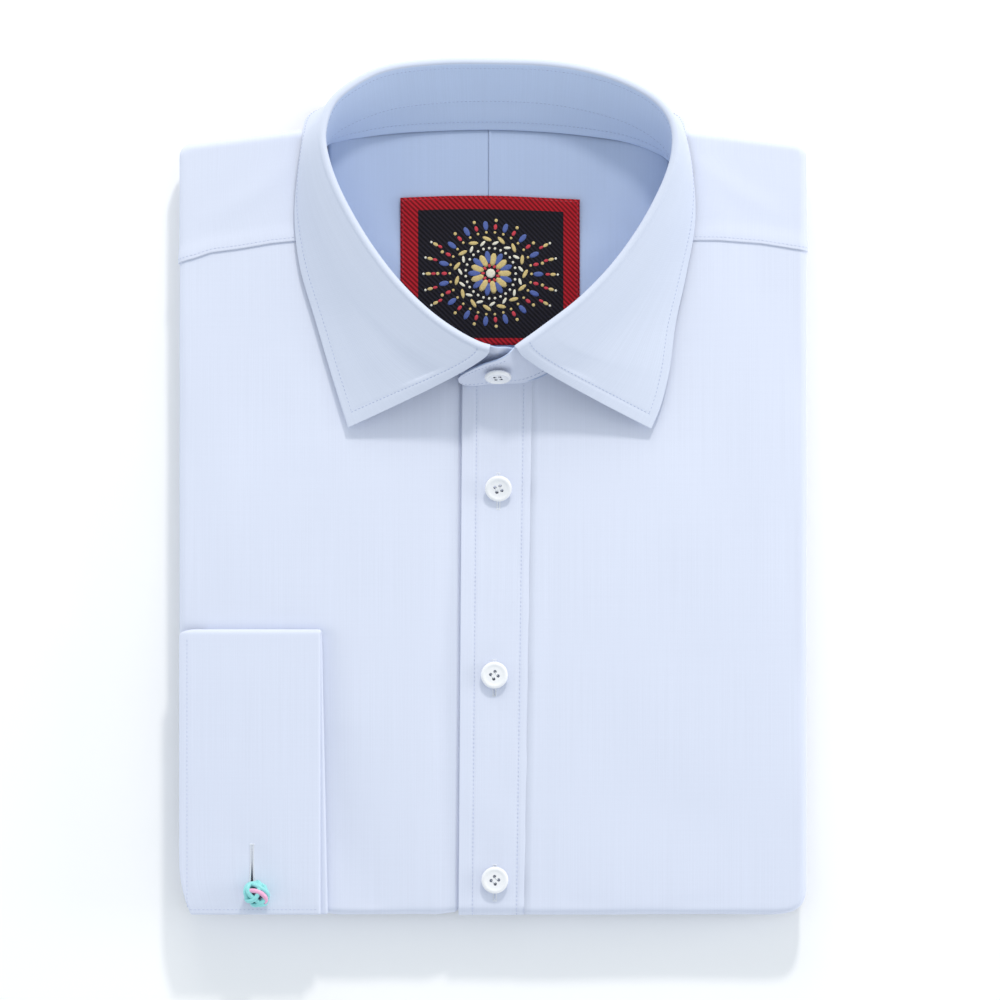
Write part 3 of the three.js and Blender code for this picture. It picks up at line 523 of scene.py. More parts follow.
@dataclass(frozen=True)
class Yarn:
    """Sewing thread or silk cord: matt fibres with a fine lay."""

    name: str
    colour: tuple[float, float, float]
    fibre: float = 1800.0
    roughness: float = 0.7
    contrast: float = 0.2

    def material(self) -> bpy.types.Material:
        """Builds the thread from the object's own coordinates."""
        sheet = NodeSheet(self.name)
        place = sheet.add("ShaderNodeTexCoord")
        noise = sheet.add("ShaderNodeTexNoise", {"Vector": (place, 3), "Scale": self.fibre, "Detail": 2.0})
        dark = tuple(channel * (1 - self.contrast) for channel in self.colour)
        light = tuple(min(channel * (1 + self.contrast), 1.0) for channel in self.colour)
        mix = sheet.add("ShaderNodeMix", {0: (noise, 0), 6: (*dark, 1.0), 7: (*light, 1.0)}, data_type="RGBA")
        sheet.join(mix, 2, sheet.shader, "Base Color")
        bump = sheet.add("ShaderNodeBump", {"Strength": 0.4, "Distance": 0.0002, "Height": (noise, 0)})
        sheet.join(bump, 0, sheet.shader, "Normal")
        return sheet.finish(self.roughness, Sheen_Weight=0.2)


@dataclass(frozen=True)
class WovenLabel:
    """Twill woven label: a red border round a black field."""

    name: str
    border: tuple[float, float, float]
    ground: tuple[float, float, float]
    field_low: tuple[float, float]
    field_high: tuple[float, float]
    twill_pitch: float = 1.5

    def material(self) -> bpy.types.Material:
        """Builds the label from its cloth map, with slanting twill ribs."""
        sheet = NodeSheet(self.name)
        cloth = sheet.add("ShaderNodeUVMap", uv_map="cloth")
        parts = sheet.add("ShaderNodeSeparateXYZ", {0: (cloth, 0)})
        inside = sheet.math("MULTIPLY", 1.0, 1.0)
        for axis in (0, 1):
            over = sheet.math("GREATER_THAN", (parts, axis), self.field_low[axis] * UV_MM)
            under = sheet.math("LESS_THAN", (parts, axis), self.field_high[axis] * UV_MM)
            both = sheet.math("MULTIPLY", (over, 0), (under, 0))
            inside = sheet.math("MULTIPLY", (inside, 0), (both, 0))
        slant = sheet.math("ADD", (parts, 0), (parts, 1))
        turns = sheet.math("MULTIPLY", (slant, 0), 2 * math.pi / (self.twill_pitch * math.sqrt(2) * UV_MM))
        rib = sheet.math("SINE", (turns, 0))
        shade = sheet.add("ShaderNodeMapRange", {0: (rib, 0), 1: -1.0, 2: 1.0, 3: 0.0, 4: 1.0})
        red = self.pair(sheet, shade, self.border)
        black = self.pair(sheet, shade, self.ground)
        mix = sheet.add("ShaderNodeMix", {0: (inside, 0), 6: (red, 2), 7: (black, 2)}, data_type="RGBA")
        sheet.join(mix, 2, sheet.shader, "Base Color")
        bump = sheet.add("ShaderNodeBump", {"Strength": 0.6, "Distance": 0.0003, "Height": (shade, 0)})
        sheet.join(bump, 0, sheet.shader, "Normal")
        return sheet.finish(0.75, Specular_IOR_Level=0.15)

    @staticmethod
    def pair(sheet: NodeSheet, shade: bpy.types.Node, colour: tuple) -> bpy.types.Node:
        """Adds a colour with painted shade in the grooves between the ribs.

        Args:
            sheet: The material's nodes.
            shade: The ribs, 0 between them and 1 on them.
            colour: The ribs' colour.

        Returns:
            The mix node.
        """
        # Painted shade: the grooves between the twill ribs darken to 0.3 of the colour.
        low = tuple(channel * 0.3 for channel in colour)
        return sheet.add("ShaderNodeMix", {0: (shade, 0), 6: (*low, 1.0), 7: (*colour, 1.0)}, data_type="RGBA")


@dataclass(frozen=True)
class Resin:
    """Polished button resin with a slightly cloudy body."""

    name: str
    colour: tuple[float, float, float]

    def material(self) -> bpy.types.Material:
        """Builds the resin from the object's own coordinates."""
        sheet = NodeSheet(self.name)
        place = sheet.add("ShaderNodeTexCoord")
        cloud = sheet.add("ShaderNodeTexNoise", {"Vector": (place, 3), "Scale": 260.0, "Detail": 3.0})
        dark = tuple(channel * 0.93 for channel in self.colour)
        mix = sheet.add(
            "ShaderNodeMix", {0: (cloud, 0), 6: (*dark, 1.0), 7: (*self.colour, 1.0)}, data_type="RGBA")
        sheet.join(mix, 2, sheet.shader, "Base Color")
        rough = sheet.add("ShaderNodeMapRange", {0: (cloud, 0), 1: 0.3, 2: 0.7, 3: 0.22, 4: 0.34})
        sheet.join(rough, 0, sheet.shader, "Roughness")
        return sheet.finish(0.28, Coat_Weight=0.25, Coat_Roughness=0.15)


@dataclass(frozen=True)
class Paper:
    """The plain pale floor."""

    name: str
    colour: tuple[float, float, float]

    def material(self) -> bpy.types.Material:
        """Builds the floor's matt finish."""
        sheet = NodeSheet(self.name)
        place = sheet.add("ShaderNodeTexCoord")
        noise = sheet.add("ShaderNodeTexNoise", {"Vector": (place, 3), "Scale": 40.0})
        dark = tuple(channel * 0.99 for channel in self.colour)
        mix = sheet.add(
            "ShaderNodeMix", {0: (noise, 0), 6: (*dark, 1.0), 7: (*self.colour, 1.0)}, data_type="RGBA")
        sheet.join(mix, 2, sheet.shader, "Base Color")
        return sheet.finish(0.9, Specular_IOR_Level=0.1)


# Stand sections: foot x, y, z and fold x, y, z
STAND_ROWS = (
    (12.0, 46.8, 22.9, 12.5, 57.0, 41.0), (6.0, 46.6, 22.9, 6.0, 58.6, 46.5),
    (-1.3, 46.5, 22.8, -1.3, 58.6, 49.0), (-10.0, 47.6, 22.6, -8.2, 61.0, 49.0),
    (-27.0, 55.5, 22.5, -23.6, 70.6, 48.5), (-45.5, 73.0, 22.0, -39.6, 85.6, 47.5),
    (-62.0, 98.5, 21.4, -55.2, 106.6, 46.8), (-71.5, 124.0, 20.8, -67.2, 129.4, 46.5),
    (-72.6, 137.5, 20.6, -71.4, 145.0, 46.2), (-70.2, 144.6, 20.2, -70.7, 153.8, 45.4),
    (-65.0, 146.6, 19.6, -67.4, 162.2, 43.8), (-57.0, 148.2, 19.0, -59.5, 169.5, 41.5),
    (-43.0, 150.2, 18.2, -46.1, 176.4, 38.6), (-22.0, 151.5, 17.7, -24.0, 179.6, 37.0),
    (0.0, 151.9, 17.6, 0.0, 179.9, 36.6), (22.0, 151.0, 17.7, 24.0, 179.0, 37.0),
    (40.0, 149.2, 18.2, 42.0, 175.8, 38.6), (56.0, 146.6, 19.0, 58.0, 170.0, 41.5),
    (67.0, 142.8, 19.7, 70.2, 162.0, 43.8), (74.4, 138.2, 20.3, 76.0, 152.4, 45.6),
    (77.4, 130.5, 20.6, 75.8, 138.2, 46.4), (73.6, 114.0, 21.0, 67.4, 117.6, 46.8),
    (61.0, 89.0, 21.7, 53.0, 95.8, 47.4), (44.5, 66.8, 22.4, 37.4, 79.3, 48.4),
    (28.0, 51.6, 22.9, 22.6, 67.8, 49.2), (14.0, 44.9, 23.5, 9.7, 58.4, 49.6),
    (6.0, 44.2, 23.7, 3.7, 54.2, 45.4), (-3.0, 43.7, 23.8, -3.4, 51.9, 41.6),
    (-9.0, 43.2, 23.9, -9.4, 49.4, 37.6), (-12.6, 43.6, 25.0, -13.2, 47.4, 33.2),
    (-14.4, 44.8, 27.6, -14.7, 46.0, 30.2),
)
# Leaf sections: stand section, edge x, y, z, hang before the turn, and swell
LEAF_ROWS = (
    (2.0, -61.2, 25.1, 25.6, 3, 4), (2.5, -62.6, 29.6, 25.4, 3, 5), (3.0, -64.0, 34.0, 25.2, 4, 7),
    (4.0, -68.0, 47.0, 24.8, 6, 9), (5.0, -75.0, 71.0, 24.2, 8, 10), (6.0, -81.4, 93.5, 23.4, 8, 9),
    (7.0, -83.4, 114.0, 22.6, 8, 8), (8.0, -82.2, 131.0, 22.2, 8, 7), (9.0, -80.2, 146.0, 22.6, 8, 6),
    (10.0, -78.4, 156.8, 14.0, 12, 4.5), (11.0, -69.0, 160.5, 4.6, 12, 5), (12.0, -50.0, 161.5, 1.4, 12, 6),
    (13.0, -25.0, 162.0, 1.1, 12, 7), (14.0, 0.0, 162.0, 1.1, 12, 7), (15.0, 25.0, 161.8, 1.1, 12, 7),
    (16.0, 46.0, 161.2, 1.4, 12, 6), (17.0, 63.0, 160.0, 3.4, 12, 4), (18.0, 78.8, 157.0, 12.5, 12, 3),
    (19.0, 81.4, 147.0, 22.6, 9, 4), (20.0, 84.2, 130.0, 22.3, 8, 6), (21.0, 85.0, 112.0, 22.8, 8, 8),
    (22.0, 81.4, 90.0, 23.6, 8, 9), (23.0, 77.0, 69.0, 24.3, 8, 10), (24.0, 74.2, 48.0, 24.8, 7, 10),
    (24.6, 70.6, 33.8, 25.2, 8, 5), (25.0, 66.7, 24.5, 25.6, 8, 2),
)


def to_object(bm: bmesh.types.BMesh, name: str, material: bpy.types.Material) -> bpy.types.Object:
    """Makes an object of a bmesh, in place, smooth, and with its finish.

    Args:
        bm: The shape, in metres. It is freed.
        name: The object's name.
        material: Its finish.

    Returns:
        The object, at the origin.
    """
    mesh = bpy.data.meshes.new(name)
    for face in bm.faces:
        face.smooth = True
    bm.to_mesh(mesh)
    bm.free()
    mesh.materials.append(material)
    piece = bpy.data.objects.new(name, mesh)
    bpy.context.scene.collection.objects.link(piece)
    return piece


def report(piece: bpy.types.Object, slot: Slot, *nodes: str) -> bpy.types.Object:
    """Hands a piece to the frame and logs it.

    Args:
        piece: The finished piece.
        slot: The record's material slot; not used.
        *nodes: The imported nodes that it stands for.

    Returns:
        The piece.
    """
    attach(piece, BODY)
    if nodes:
        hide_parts(*nodes)
    LOG.info("%s: %d faces", piece.name, len(piece.data.polygons))
    return piece


@dataclass
class ClothSheet:
    """One cut of cloth, laid on a surface that is given by a column and a row."""

    name: str
    columns: list[float]
    rows: list[float]
    surface: Surface
    flat_at: Callable[[float, float], tuple[float, float]]
    wall: float = 0.5
    side: float = -1.0
    flip: bool = False
    rounding: int = 0
    relief: Optional[Callable[[float, float], float]] = None
    lining: Optional[bpy.types.Material] = None

    def build(self, material: bpy.types.Material) -> bpy.types.Object:
        """Lays the cloth and gives it its wall.

        Args:
            material: The cloth's finish.

        Returns:
            The piece.
        """
        bm = bmesh.new()
        last_column, last_row = len(self.columns) - 1, len(self.rows) - 1
        bmesh.ops.create_grid(bm, x_segments=last_column, y_segments=last_row, size=0.5)
        places = {}
        for vert in bm.verts:
            column = self.columns[round((vert.co.x + 0.5) * last_column)]
            row = self.rows[round((vert.co.y + 0.5) * last_row)]
            places[vert] = (column, row)
        for vert, (column, row) in places.items():
            vert.co = self.surface(column, row) * MM
        if self.flip:
            bmesh.ops.reverse_faces(bm, faces=bm.faces[:])
        if self.relief is not None:
            bm.normal_update()
            lifts = {vert: vert.normal * self.relief(*places[vert]) * MM for vert in bm.verts}
            for vert, lift in lifts.items():
                vert.co += lift
        cloth = bm.loops.layers.uv.new("cloth")
        for face in bm.faces:
            for loop in face.loops:
                across, along = self.flat_at(*places[loop.vert])
                loop[cloth].uv = (across * UV_MM, along * UV_MM)
        piece = to_object(bm, self.name, material)
        wall = piece.modifiers.new("wall", "SOLIDIFY")
        wall.thickness = self.wall * MM
        wall.offset = self.side
        wall.use_even_offset = False
        if self.lining is not None:
            piece.data.materials.append(self.lining)
            wall.material_offset = 1
        if self.rounding:
            soft = piece.modifiers.new("rounding", "SUBSURF")
            soft.levels = self.rounding
            soft.render_levels = self.rounding
        return piece


def standing_on(surface: Surface, column: float, row: float, step: tuple[float, float]) -> tuple[Vector, Vector]:
    """Gives a point of a surface and its direction outwards.

    Args:
        surface: The surface, by column and row.
        column: Its column.
        row: Its row.
        step: How far apart the points are that the direction is taken from.

    Returns:
        The point and the unit normal.
    """
    across = surface(column + step[0], row) - surface(column - step[0], row)
    along = surface(column, row + step[1]) - surface(column, row - step[1])
    return surface(column, row), across.cross(along).normalized()


@dataclass
class Sewing:
    """Machine stitches and hand-worked edges, each stitch a small bead of thread."""

    thread: bpy.types.Material
    pitch: float = 1.75
    length: float = 1.25
    width: float = 0.3
    rise: float = 0.16

    def beads(self, bm: bmesh.types.BMesh, trace: Trace, pitch: float, size: tuple[float, float, float],
              crosswise: bool = False) -> None:
        """Lays beads of thread along a line.

        Args:
            bm: The shape to add them to.
            trace: Points of the line and the direction outwards at each.
            pitch: From one stitch to the next.
            size: Length, width and height of a stitch.
            crosswise: Whether the stitches lie across the line.
        """
        done, wanted = 0.0, pitch / 2
        for (start, normal), (end, _) in zip(trace, trace[1:]):
            run = (end - start).length
            while run > 0 and wanted <= done + run:
                centre = start.lerp(end, (wanted - done) / run)
                along = (end - start).normalized()
                across = normal.cross(along).normalized()
                if crosswise:
                    along, across = across, along
                turn = Matrix((along, across, along.cross(across))).transposed().to_4x4()
                scale = Matrix.Diagonal((size[0] / 2, size[1] / 2, size[2] / 2, 1.0))
                place = Matrix.Translation(centre * MM) @ turn @ Matrix.Scale(MM, 4) @ scale
                bmesh.ops.create_icosphere(bm, subdivisions=1, radius=1.0, matrix=place)
                wanted += pitch
            done += run

    def seams(self, name: str, traces: Iterable[Trace]) -> bpy.types.Object:
        """Sews machine stitches along several lines.

        Args:
            name: The piece's name.
            traces: The lines.

        Returns:
            The piece.
        """
        bm = bmesh.new()
        for trace in traces:
            self.beads(bm, trace, self.pitch, (self.length, self.width, self.rise * 2))
        return to_object(bm, name, self.thread)


def tubes(name: str, paths: Iterable[Sequence[Vector]], radius: float, material: bpy.types.Material,
          closed: bool = False, sides: int = 4) -> bpy.types.Object:
    """Makes round cords along smooth paths.

    Args:
        name: The piece's name.
        paths: The points of each cord, in millimetres.
        radius: The cords' radius.
        material: Their finish.
        closed: Whether each cord is a loop.
        sides: Roundness of the cords.

    Returns:
        The piece.
    """
    curve = bpy.data.curves.new(name + "_path", "CURVE")
    curve.dimensions = "3D"
    curve.bevel_depth = radius * MM
    curve.bevel_resolution = sides
    curve.use_fill_caps = True
    for path in paths:
        line = curve.splines.new("POLY")
        line.points.add(len(path) - 1)
        for point, place in zip(line.points, path):
            point.co = (*(place * MM), 1.0)
        line.use_cyclic_u = closed
    carrier = bpy.data.objects.new(name + "_carrier", curve)
    bpy.context.scene.collection.objects.link(carrier)
    mesh = bpy.data.meshes.new_from_object(carrier.evaluated_get(bpy.context.evaluated_depsgraph_get()))
    bpy.data.objects.remove(carrier)
    bm = bmesh.new()
    bm.from_mesh(mesh)
    bpy.data.meshes.remove(mesh)
    bmesh.ops.recalc_face_normals(bm, faces=bm.faces[:])
    return to_object(bm, name, material)


@dataclass(frozen=True)
class StandFrame:
    """Directions at a section of the stand."""

    seam: Vector
    roll: Vector
    up: Vector
    away: Vector
    square: Vector


class CollarForm:
    """The collar's curves: the stand's foot, the fold and the leaf's edge."""

    def __init__(self) -> None:
        """Lays the smooth curves through the measured rows."""
        self.fold_radius = 1.3
        self.neckline_inset = 0.3
        self.centre = (1.6, 112.0)
        self.seam_curve = SmoothCurve([Vector(row[:3]) for row in STAND_ROWS])
        self.roll_curve = SmoothCurve([Vector(row[3:]) for row in STAND_ROWS])
        self.edge_curve = SmoothCurve([Vector(row[1:4]) for row in LEAF_ROWS])
        self.last = len(STAND_ROWS) - 1
        self.first_leaf, self.last_leaf = LEAF_ROWS[0][0], LEAF_ROWS[-1][0]
        self.back_rows = [(row[0], row[1]) for row in STAND_ROWS if row[1] > 138]

    def well_back(self, x: float) -> float:
        """Returns the stand's foot line behind the neck at x."""
        return read_table(self.back_rows, x)

    def neckline_y(self, x: float) -> float:
        """Returns where a front ends along the stand's foot at x."""
        rows = STAND_ROWS[2:8][::-1] if x < 0 else STAND_ROWS[21:26][::-1]
        side = [(row[0], row[1]) for row in rows]
        slope = (read_table(side, x + 2) - read_table(side, x - 2)) / 4
        return read_table(side, x) - self.neckline_inset * math.hypot(1, slope)

    def neck_side_x(self, side: int, y: float) -> float:
        """Returns the stand's foot beside the neck at y, on one side."""
        rows = sorted((row[1], row[0]) for row in STAND_ROWS if row[0] * side > 55 and 95 < row[1] < 146)
        return read_table(rows, y)

    @lru_cache(maxsize=4096)
    def frame(self, section: float) -> StandFrame:
        """Gives the directions at a stand section.

        Args:
            section: Place in the rows of the stand, counted from 0.

        Returns:
            The frame.
        """
        share = clamp(section / self.last, 0.0, 1.0)
        seam, roll = self.seam_curve.at(share), self.roll_curve.at(share)
        up = (roll - seam).normalized()
        along = self.roll_curve.at(min(share + 0.01, 1.0)) - self.roll_curve.at(max(share - 0.01, 0.0))
        away = Vector((along.y, -along.x, 0.0)).normalized()
        if away.dot(Vector((roll.x - self.centre[0], roll.y - self.centre[1], 0.0))) < 0:
            away.negate()
        return StandFrame(seam, roll, up, away, (away - up * away.dot(up)).normalized())

    def stand_point(self, column: float, row: float) -> Vector:
        """Gives a point of the stand's middle.

        Args:
            column: 0 at the underlapping end and 1 at the buttoned tab.
            row: 0 at the foot and 1 at the top.

        Returns:
            The point.
        """
        section = column * self.last
        place = self.frame(section)
        under = smoothstep(section, self.first_leaf - 0.5, self.first_leaf) * (
            1 - smoothstep(section, self.last_leaf, self.last_leaf + 0.5))
        top = place.roll - place.up * (self.fold_radius + 0.1) * under - place.square * self.fold_radius * under
        return place.seam.lerp(top, row)

    def leaf_value(self, share: float, column: int) -> float:
        """Returns a number of the leaf's rows at a share along it."""
        count = len(LEAF_ROWS) - 1
        return read_table([(index / count, row[column]) for index, row in enumerate(LEAF_ROWS)], share)

    @lru_cache(maxsize=4096)
    def leaf_section(self, share: float) -> tuple:
        """Returns the stand frame, hang, bulge and outer edge at a share along the leaf."""
        place = self.frame(self.leaf_value(share, 0))
        return place, self.leaf_value(share, 4), self.leaf_value(share, 5), self.edge_curve.at(share)

    def leaf_point(self, share: float, row: float) -> Vector:
        """Gives a point of the leaf's middle: over the fold, then down to its edge.

        Args:
            share: 0 at the front edge on the wearer's right, 1 at the left one.
            row: 0 on the inside of the fold and 1 at the outer edge.

        Returns:
            The point.
        """
        place, hang, bulge, edge = self.leaf_section(clamp(share, 0.0, 1.0))
        fold = 0.3
        angle = min(row / fold, 1.0) * math.pi
        centre = place.roll - place.up * self.fold_radius
        start = centre - place.square * self.fold_radius * math.cos(angle) + place.up * self.fold_radius * math.sin(angle)
        if row < 0:
            return start + place.up * row * 10
        if row <= fold:
            return start
        turn = start - place.up * hang + place.away * bulge
        t = (row - fold) / (1 - fold)
        return start * (1 - t) ** 2 + turn * (2 * t * (1 - t)) + edge * t**2


@dataclass
class Fronts:
    """The two fronts: flat over the layers and rolled round the side and the hem."""

    form: BodyForm
    collar: CollarForm
    wall: float = 0.5
    yoke_lap: float = 2.0
    placket_lap: float = 2.7
    underlap: float = 3.0
    deepest_wrap: float = 0.97
    gap_depth: float = 1.1
    gap_width: float = 0.75
    creases: tuple[Crease, ...] = (
        Crease(((-23.0, 30.0), (-20.0, -40.0), (-20.5, -110.0), (-23.0, -172.0)), 4.5, -0.6),
        Crease(((-18.0, -34.0), (-19.5, -100.0), (-22.0, -176.0)), 6.5, -0.55),
        Crease(((-70.0, -60.0), (-69.0, -110.0), (-66.0, -180.0)), 6.5, -0.9),
        Crease(((-64.0, -100.0), (-62.0, -150.0), (-54.0, -178.0)), 12.0, -1.2),
        Crease(((-104.0, 48.0), (-103.0, 20.0), (-106.0, -14.0)), 5.0, -0.22),
        Crease(((-92.0, 60.0), (-80.0, 34.0), (-78.0, 6.0)), 9.0, 0.25),
        Crease(((-118.0, 84.0), (-112.0, 40.0), (-118.0, -10.0), (-114.0, -44.0)), 10.0, 0.22),
        Crease(((26.0, 34.0), (24.0, -60.0), (21.0, -170.0)), 3.0, -0.22),
        Crease(((72.0, 14.0), (84.0, -18.0), (90.0, -70.0)), 16.0, 0.4),
        Crease(((40.0, -20.0), (48.0, -80.0), (44.0, -150.0)), 13.0, -0.28),
        Crease(((118.0, 80.0), (112.0, 20.0), (119.0, -60.0), (113.0, -140.0)), 9.0, 0.28),
        Crease(((60.0, -118.0), (84.0, -140.0), (120.0, -168.0)), 18.0, -0.45),
        Crease(((128.0, 60.0), (130.0, 30.0), (129.0, -8.0)), 3.0, -0.35),
        Crease(((128.0, -60.0), (131.0, -96.0), (129.0, -128.0)), 3.5, -0.4),
        Crease(((-128.0, 70.0), (-131.0, 40.0), (-129.0, 4.0)), 3.2, -0.4),
        Crease(((-60.0, -174.0), (-30.0, -179.0), (0.0, -175.0)), 2.6, -0.3),
        Crease(((30.0, -175.0), (64.0, -179.0), (100.0, -174.0)), 2.8, -0.35),
    )

    def relief(self, x: float, y: float) -> float:
        """Returns the height of the laid-in folds and of the cloth's own softness at (x, y)."""
        soft = 0.10 * math.sin(x / 23.0 + 0.8) * math.sin(y / 31.0 + 1.1) + 0.06 * math.sin(x / 9.7 + y / 17.0)
        return soft + sum(crease.height(x, y) for crease in self.creases)

    def edge_gap(self, x: float, y: float) -> float:
        """Returns how far the cloth dips right beside the placket's free edge at (x, y)."""
        return -self.gap_depth * math.exp(-(((x - self.form.placket_left_x(y) + 0.25) / self.gap_width) ** 2))

    def panel(self, name: str, material: bpy.types.Material, columns: list, top_at: Callable[[float], float],
              press: Press, fade: Callable[[float, float], float]) -> bpy.types.Object:
        """Lays one front.

        Args:
            name: The piece's name.
            material: Its cloth.
            columns: Lines along the body, as numbers or as functions of y.
            top_at: Where the front ends at the top, at x.
            press: What presses it down.
            fade: How much of the laid-in folds shows at (x, y).

        Returns:
            The piece.
        """
        form = self.form
        low = form.flat_bottom_y - self.deepest_wrap * form.wrap_length
        rows = between([low, form.flat_bottom_y, -67.0, -50.0, 8.0, 9.0], [12, 44, 12, 26, 40])

        @lru_cache(maxsize=None)
        def place(column: int, row: float) -> tuple[float, float]:
            line = columns[int(column)]
            top = top_at(line(42.6) if callable(line) else line)
            y = row if row <= 8.0 else lerp(8.0, top, row - 8.0)
            return (line(y) if callable(line) else line), y

        sheet = ClothSheet(
            name, [float(index) for index in range(len(columns))], rows,
            surface=lambda column, row: form.cover_point(*place(column, row), form.cover_out, press),
            flat_at=lambda column, row: place(column, row),
            wall=self.wall,
            relief=lambda column, row: (
                self.relief(*place(column, row)) * fade(*place(column, row)) + self.edge_gap(*place(column, row))))
        return sheet.build(material)

    def build(self, cloth: bpy.types.Material) -> None:
        """Lays both fronts in their cloth."""
        form = self.form
        edge_wrap = form.flat_x + self.deepest_wrap * form.wrap_length
        inner = lambda y: form.placket_right_x(y) - self.placket_lap
        middle = lambda y: form.placket_right_x(y) + 0.6
        right_lines = [
            inner, middle,
            *between([21.5, 60.0, 72.0, form.flat_x, edge_wrap], [24, 10, 30, 12])]

        def left_top(x: float) -> float:
            seam = read_table(form.yoke_seam_left, x) + self.yoke_lap
            if abs(x) >= 72:
                return seam
            if x <= 19.5:
                return read_table(form.placket_top_edge, x) + 1.9
            return min(self.collar.neckline_y(x), seam)

        def left_fade(x: float, y: float) -> float:
            away = smoothstep(x, form.placket_right_x(y) + 0.5, form.placket_right_x(y) + 6)
            return away * (1 - smoothstep(y, left_top(x) - 6, left_top(x)))

        left = self.panel("front_left_cloth", cloth, right_lines, left_top, Press.NONE, left_fade)
        report(left, Slot.POPLIN, "front_left")
        left_lines = [
            *between([-edge_wrap, -form.flat_x, -82.0, -60.0, -34.0], [12, 24, 20, 16]),
            *[(lambda y, gap=gap: form.placket_left_x(y) - gap) for gap in (14, 11, 9, 7.5, 6, 4.5, 3, 2, 1.4, 0.9, 0.4, 0, -0.6, -1.5)],
            *[(lambda y, share=share: lerp(form.placket_left_x(y) + 3, form.placket_right_x(y) - self.underlap, share))
              for share in evenly(6)]]

        def right_top(x: float) -> float:
            seam = read_table(form.yoke_seam_right, x) + self.yoke_lap
            if x > form.placket_left[0]:
                return read_table(form.placket_top_edge, form.placket_left[0]) + 1.5
            return seam if x <= -66 else min(self.collar.neckline_y(x), seam)

        def right_fade(x: float, y: float) -> float:
            away = 1 - smoothstep(x, form.placket_left_x(y) - 4, form.placket_left_x(y) - 0.5)
            under_cuff = (1 - smoothstep(x, -84, -76)) * (1 - smoothstep(y, -58, -50))
            return away * (1 - smoothstep(y, right_top(x) - 6, right_top(x))) * (1 - under_cuff)

        right = self.panel("front_right_cloth", cloth, left_lines, right_top, Press.RIGHT, right_fade)
        report(right, Slot.POPLIN, "front_right")


@dataclass
class Placket:
    """The buttonhole band, pressed thicker along its free edge and stitched down both sides."""

    form: BodyForm
    wall: float = 0.75
    stitch_inset: float = 6.0
    groove_width: float = 0.7
    groove_depth: float = 0.14
    seam_sink: float = 0.5
    lowest_wrap: float = 0.8

    def point(self, share: float, row: float, lift: float = 0.0) -> Vector:
        """Gives a point of the band's upper face.

        Args:
            share: 0 at the free edge and 1 at the sewn edge.
            row: Place along the body, or 8 plus a share of the rest above it.
            lift: Extra distance from the cloth.

        Returns:
            The point.
        """
        form = self.form
        top = read_table(form.placket_top_edge, lerp(form.placket_left[0], form.placket_right[0], share)) + 1.5
        y = row if row <= 8.0 else lerp(8.0, top, row - 8.0)
        x = lerp(form.placket_left_x(y), form.placket_right_x(y), share)
        out = form.cover_out + form.seam_gap + self.wall + 0.15 * (1 - smoothstep(share, 0.7, 1.0))
        return form.cover_point(x, y, out - self.seam_sink * smoothstep(share, 0.88, 1.0) + lift, Press.RIGHT)

    def relief(self, share: float, row: float) -> float:
        """Returns the grooves under the stitches and the soft pulls beside the buttons."""
        across = share * 31.0
        groove = 0.0
        for line in (self.stitch_inset, 31.0 - self.stitch_inset):
            groove -= self.groove_depth * math.exp(-(((across - line) / self.groove_width) ** 2))
        swell = 0.10 * math.sin(row / 11.0 + 0.4) * math.sin(math.pi * share) + 0.07 * math.sin(row / 5.3 + across / 6)
        return groove + swell * 0.7

    def line(self, share: float) -> Trace:
        """Returns a line down the band with the direction outwards."""
        rows = between([self.form.flat_bottom_y - 6.0, 8.0, 9.0], [110, 22])
        return [standing_on(self.point, share, row, (0.01, 0.02)) for row in rows]

    def build(self, cloth: bpy.types.Material, sewing: Sewing) -> None:
        """Lays the band and sews both its sides."""
        inset = self.stitch_inset / 31.0
        columns = between([0.0, 0.03, inset - 0.04, inset + 0.04, 1 - inset - 0.04, 1 - inset + 0.04, 0.97, 1.0],
                          [2, 5, 6, 10, 6, 5, 2])
        low = self.form.flat_bottom_y - self.lowest_wrap * self.form.wrap_length
        sheet = ClothSheet(
            "placket_band", columns, between([low, self.form.flat_bottom_y, 8.0, 9.0], [8, 96, 18]), self.point,
            flat_at=lambda share, row: (share * 31.0, row if row <= 8 else lerp(8.0, 42.6, row - 8)),
            wall=self.wall, rounding=1, relief=self.relief)
        band = report(sheet.build(cloth), Slot.POPLIN, "placket")
        report(sewing.seams("placket_stitching", [self.line(inset), self.line(1 - inset)]), Slot.POPLIN)


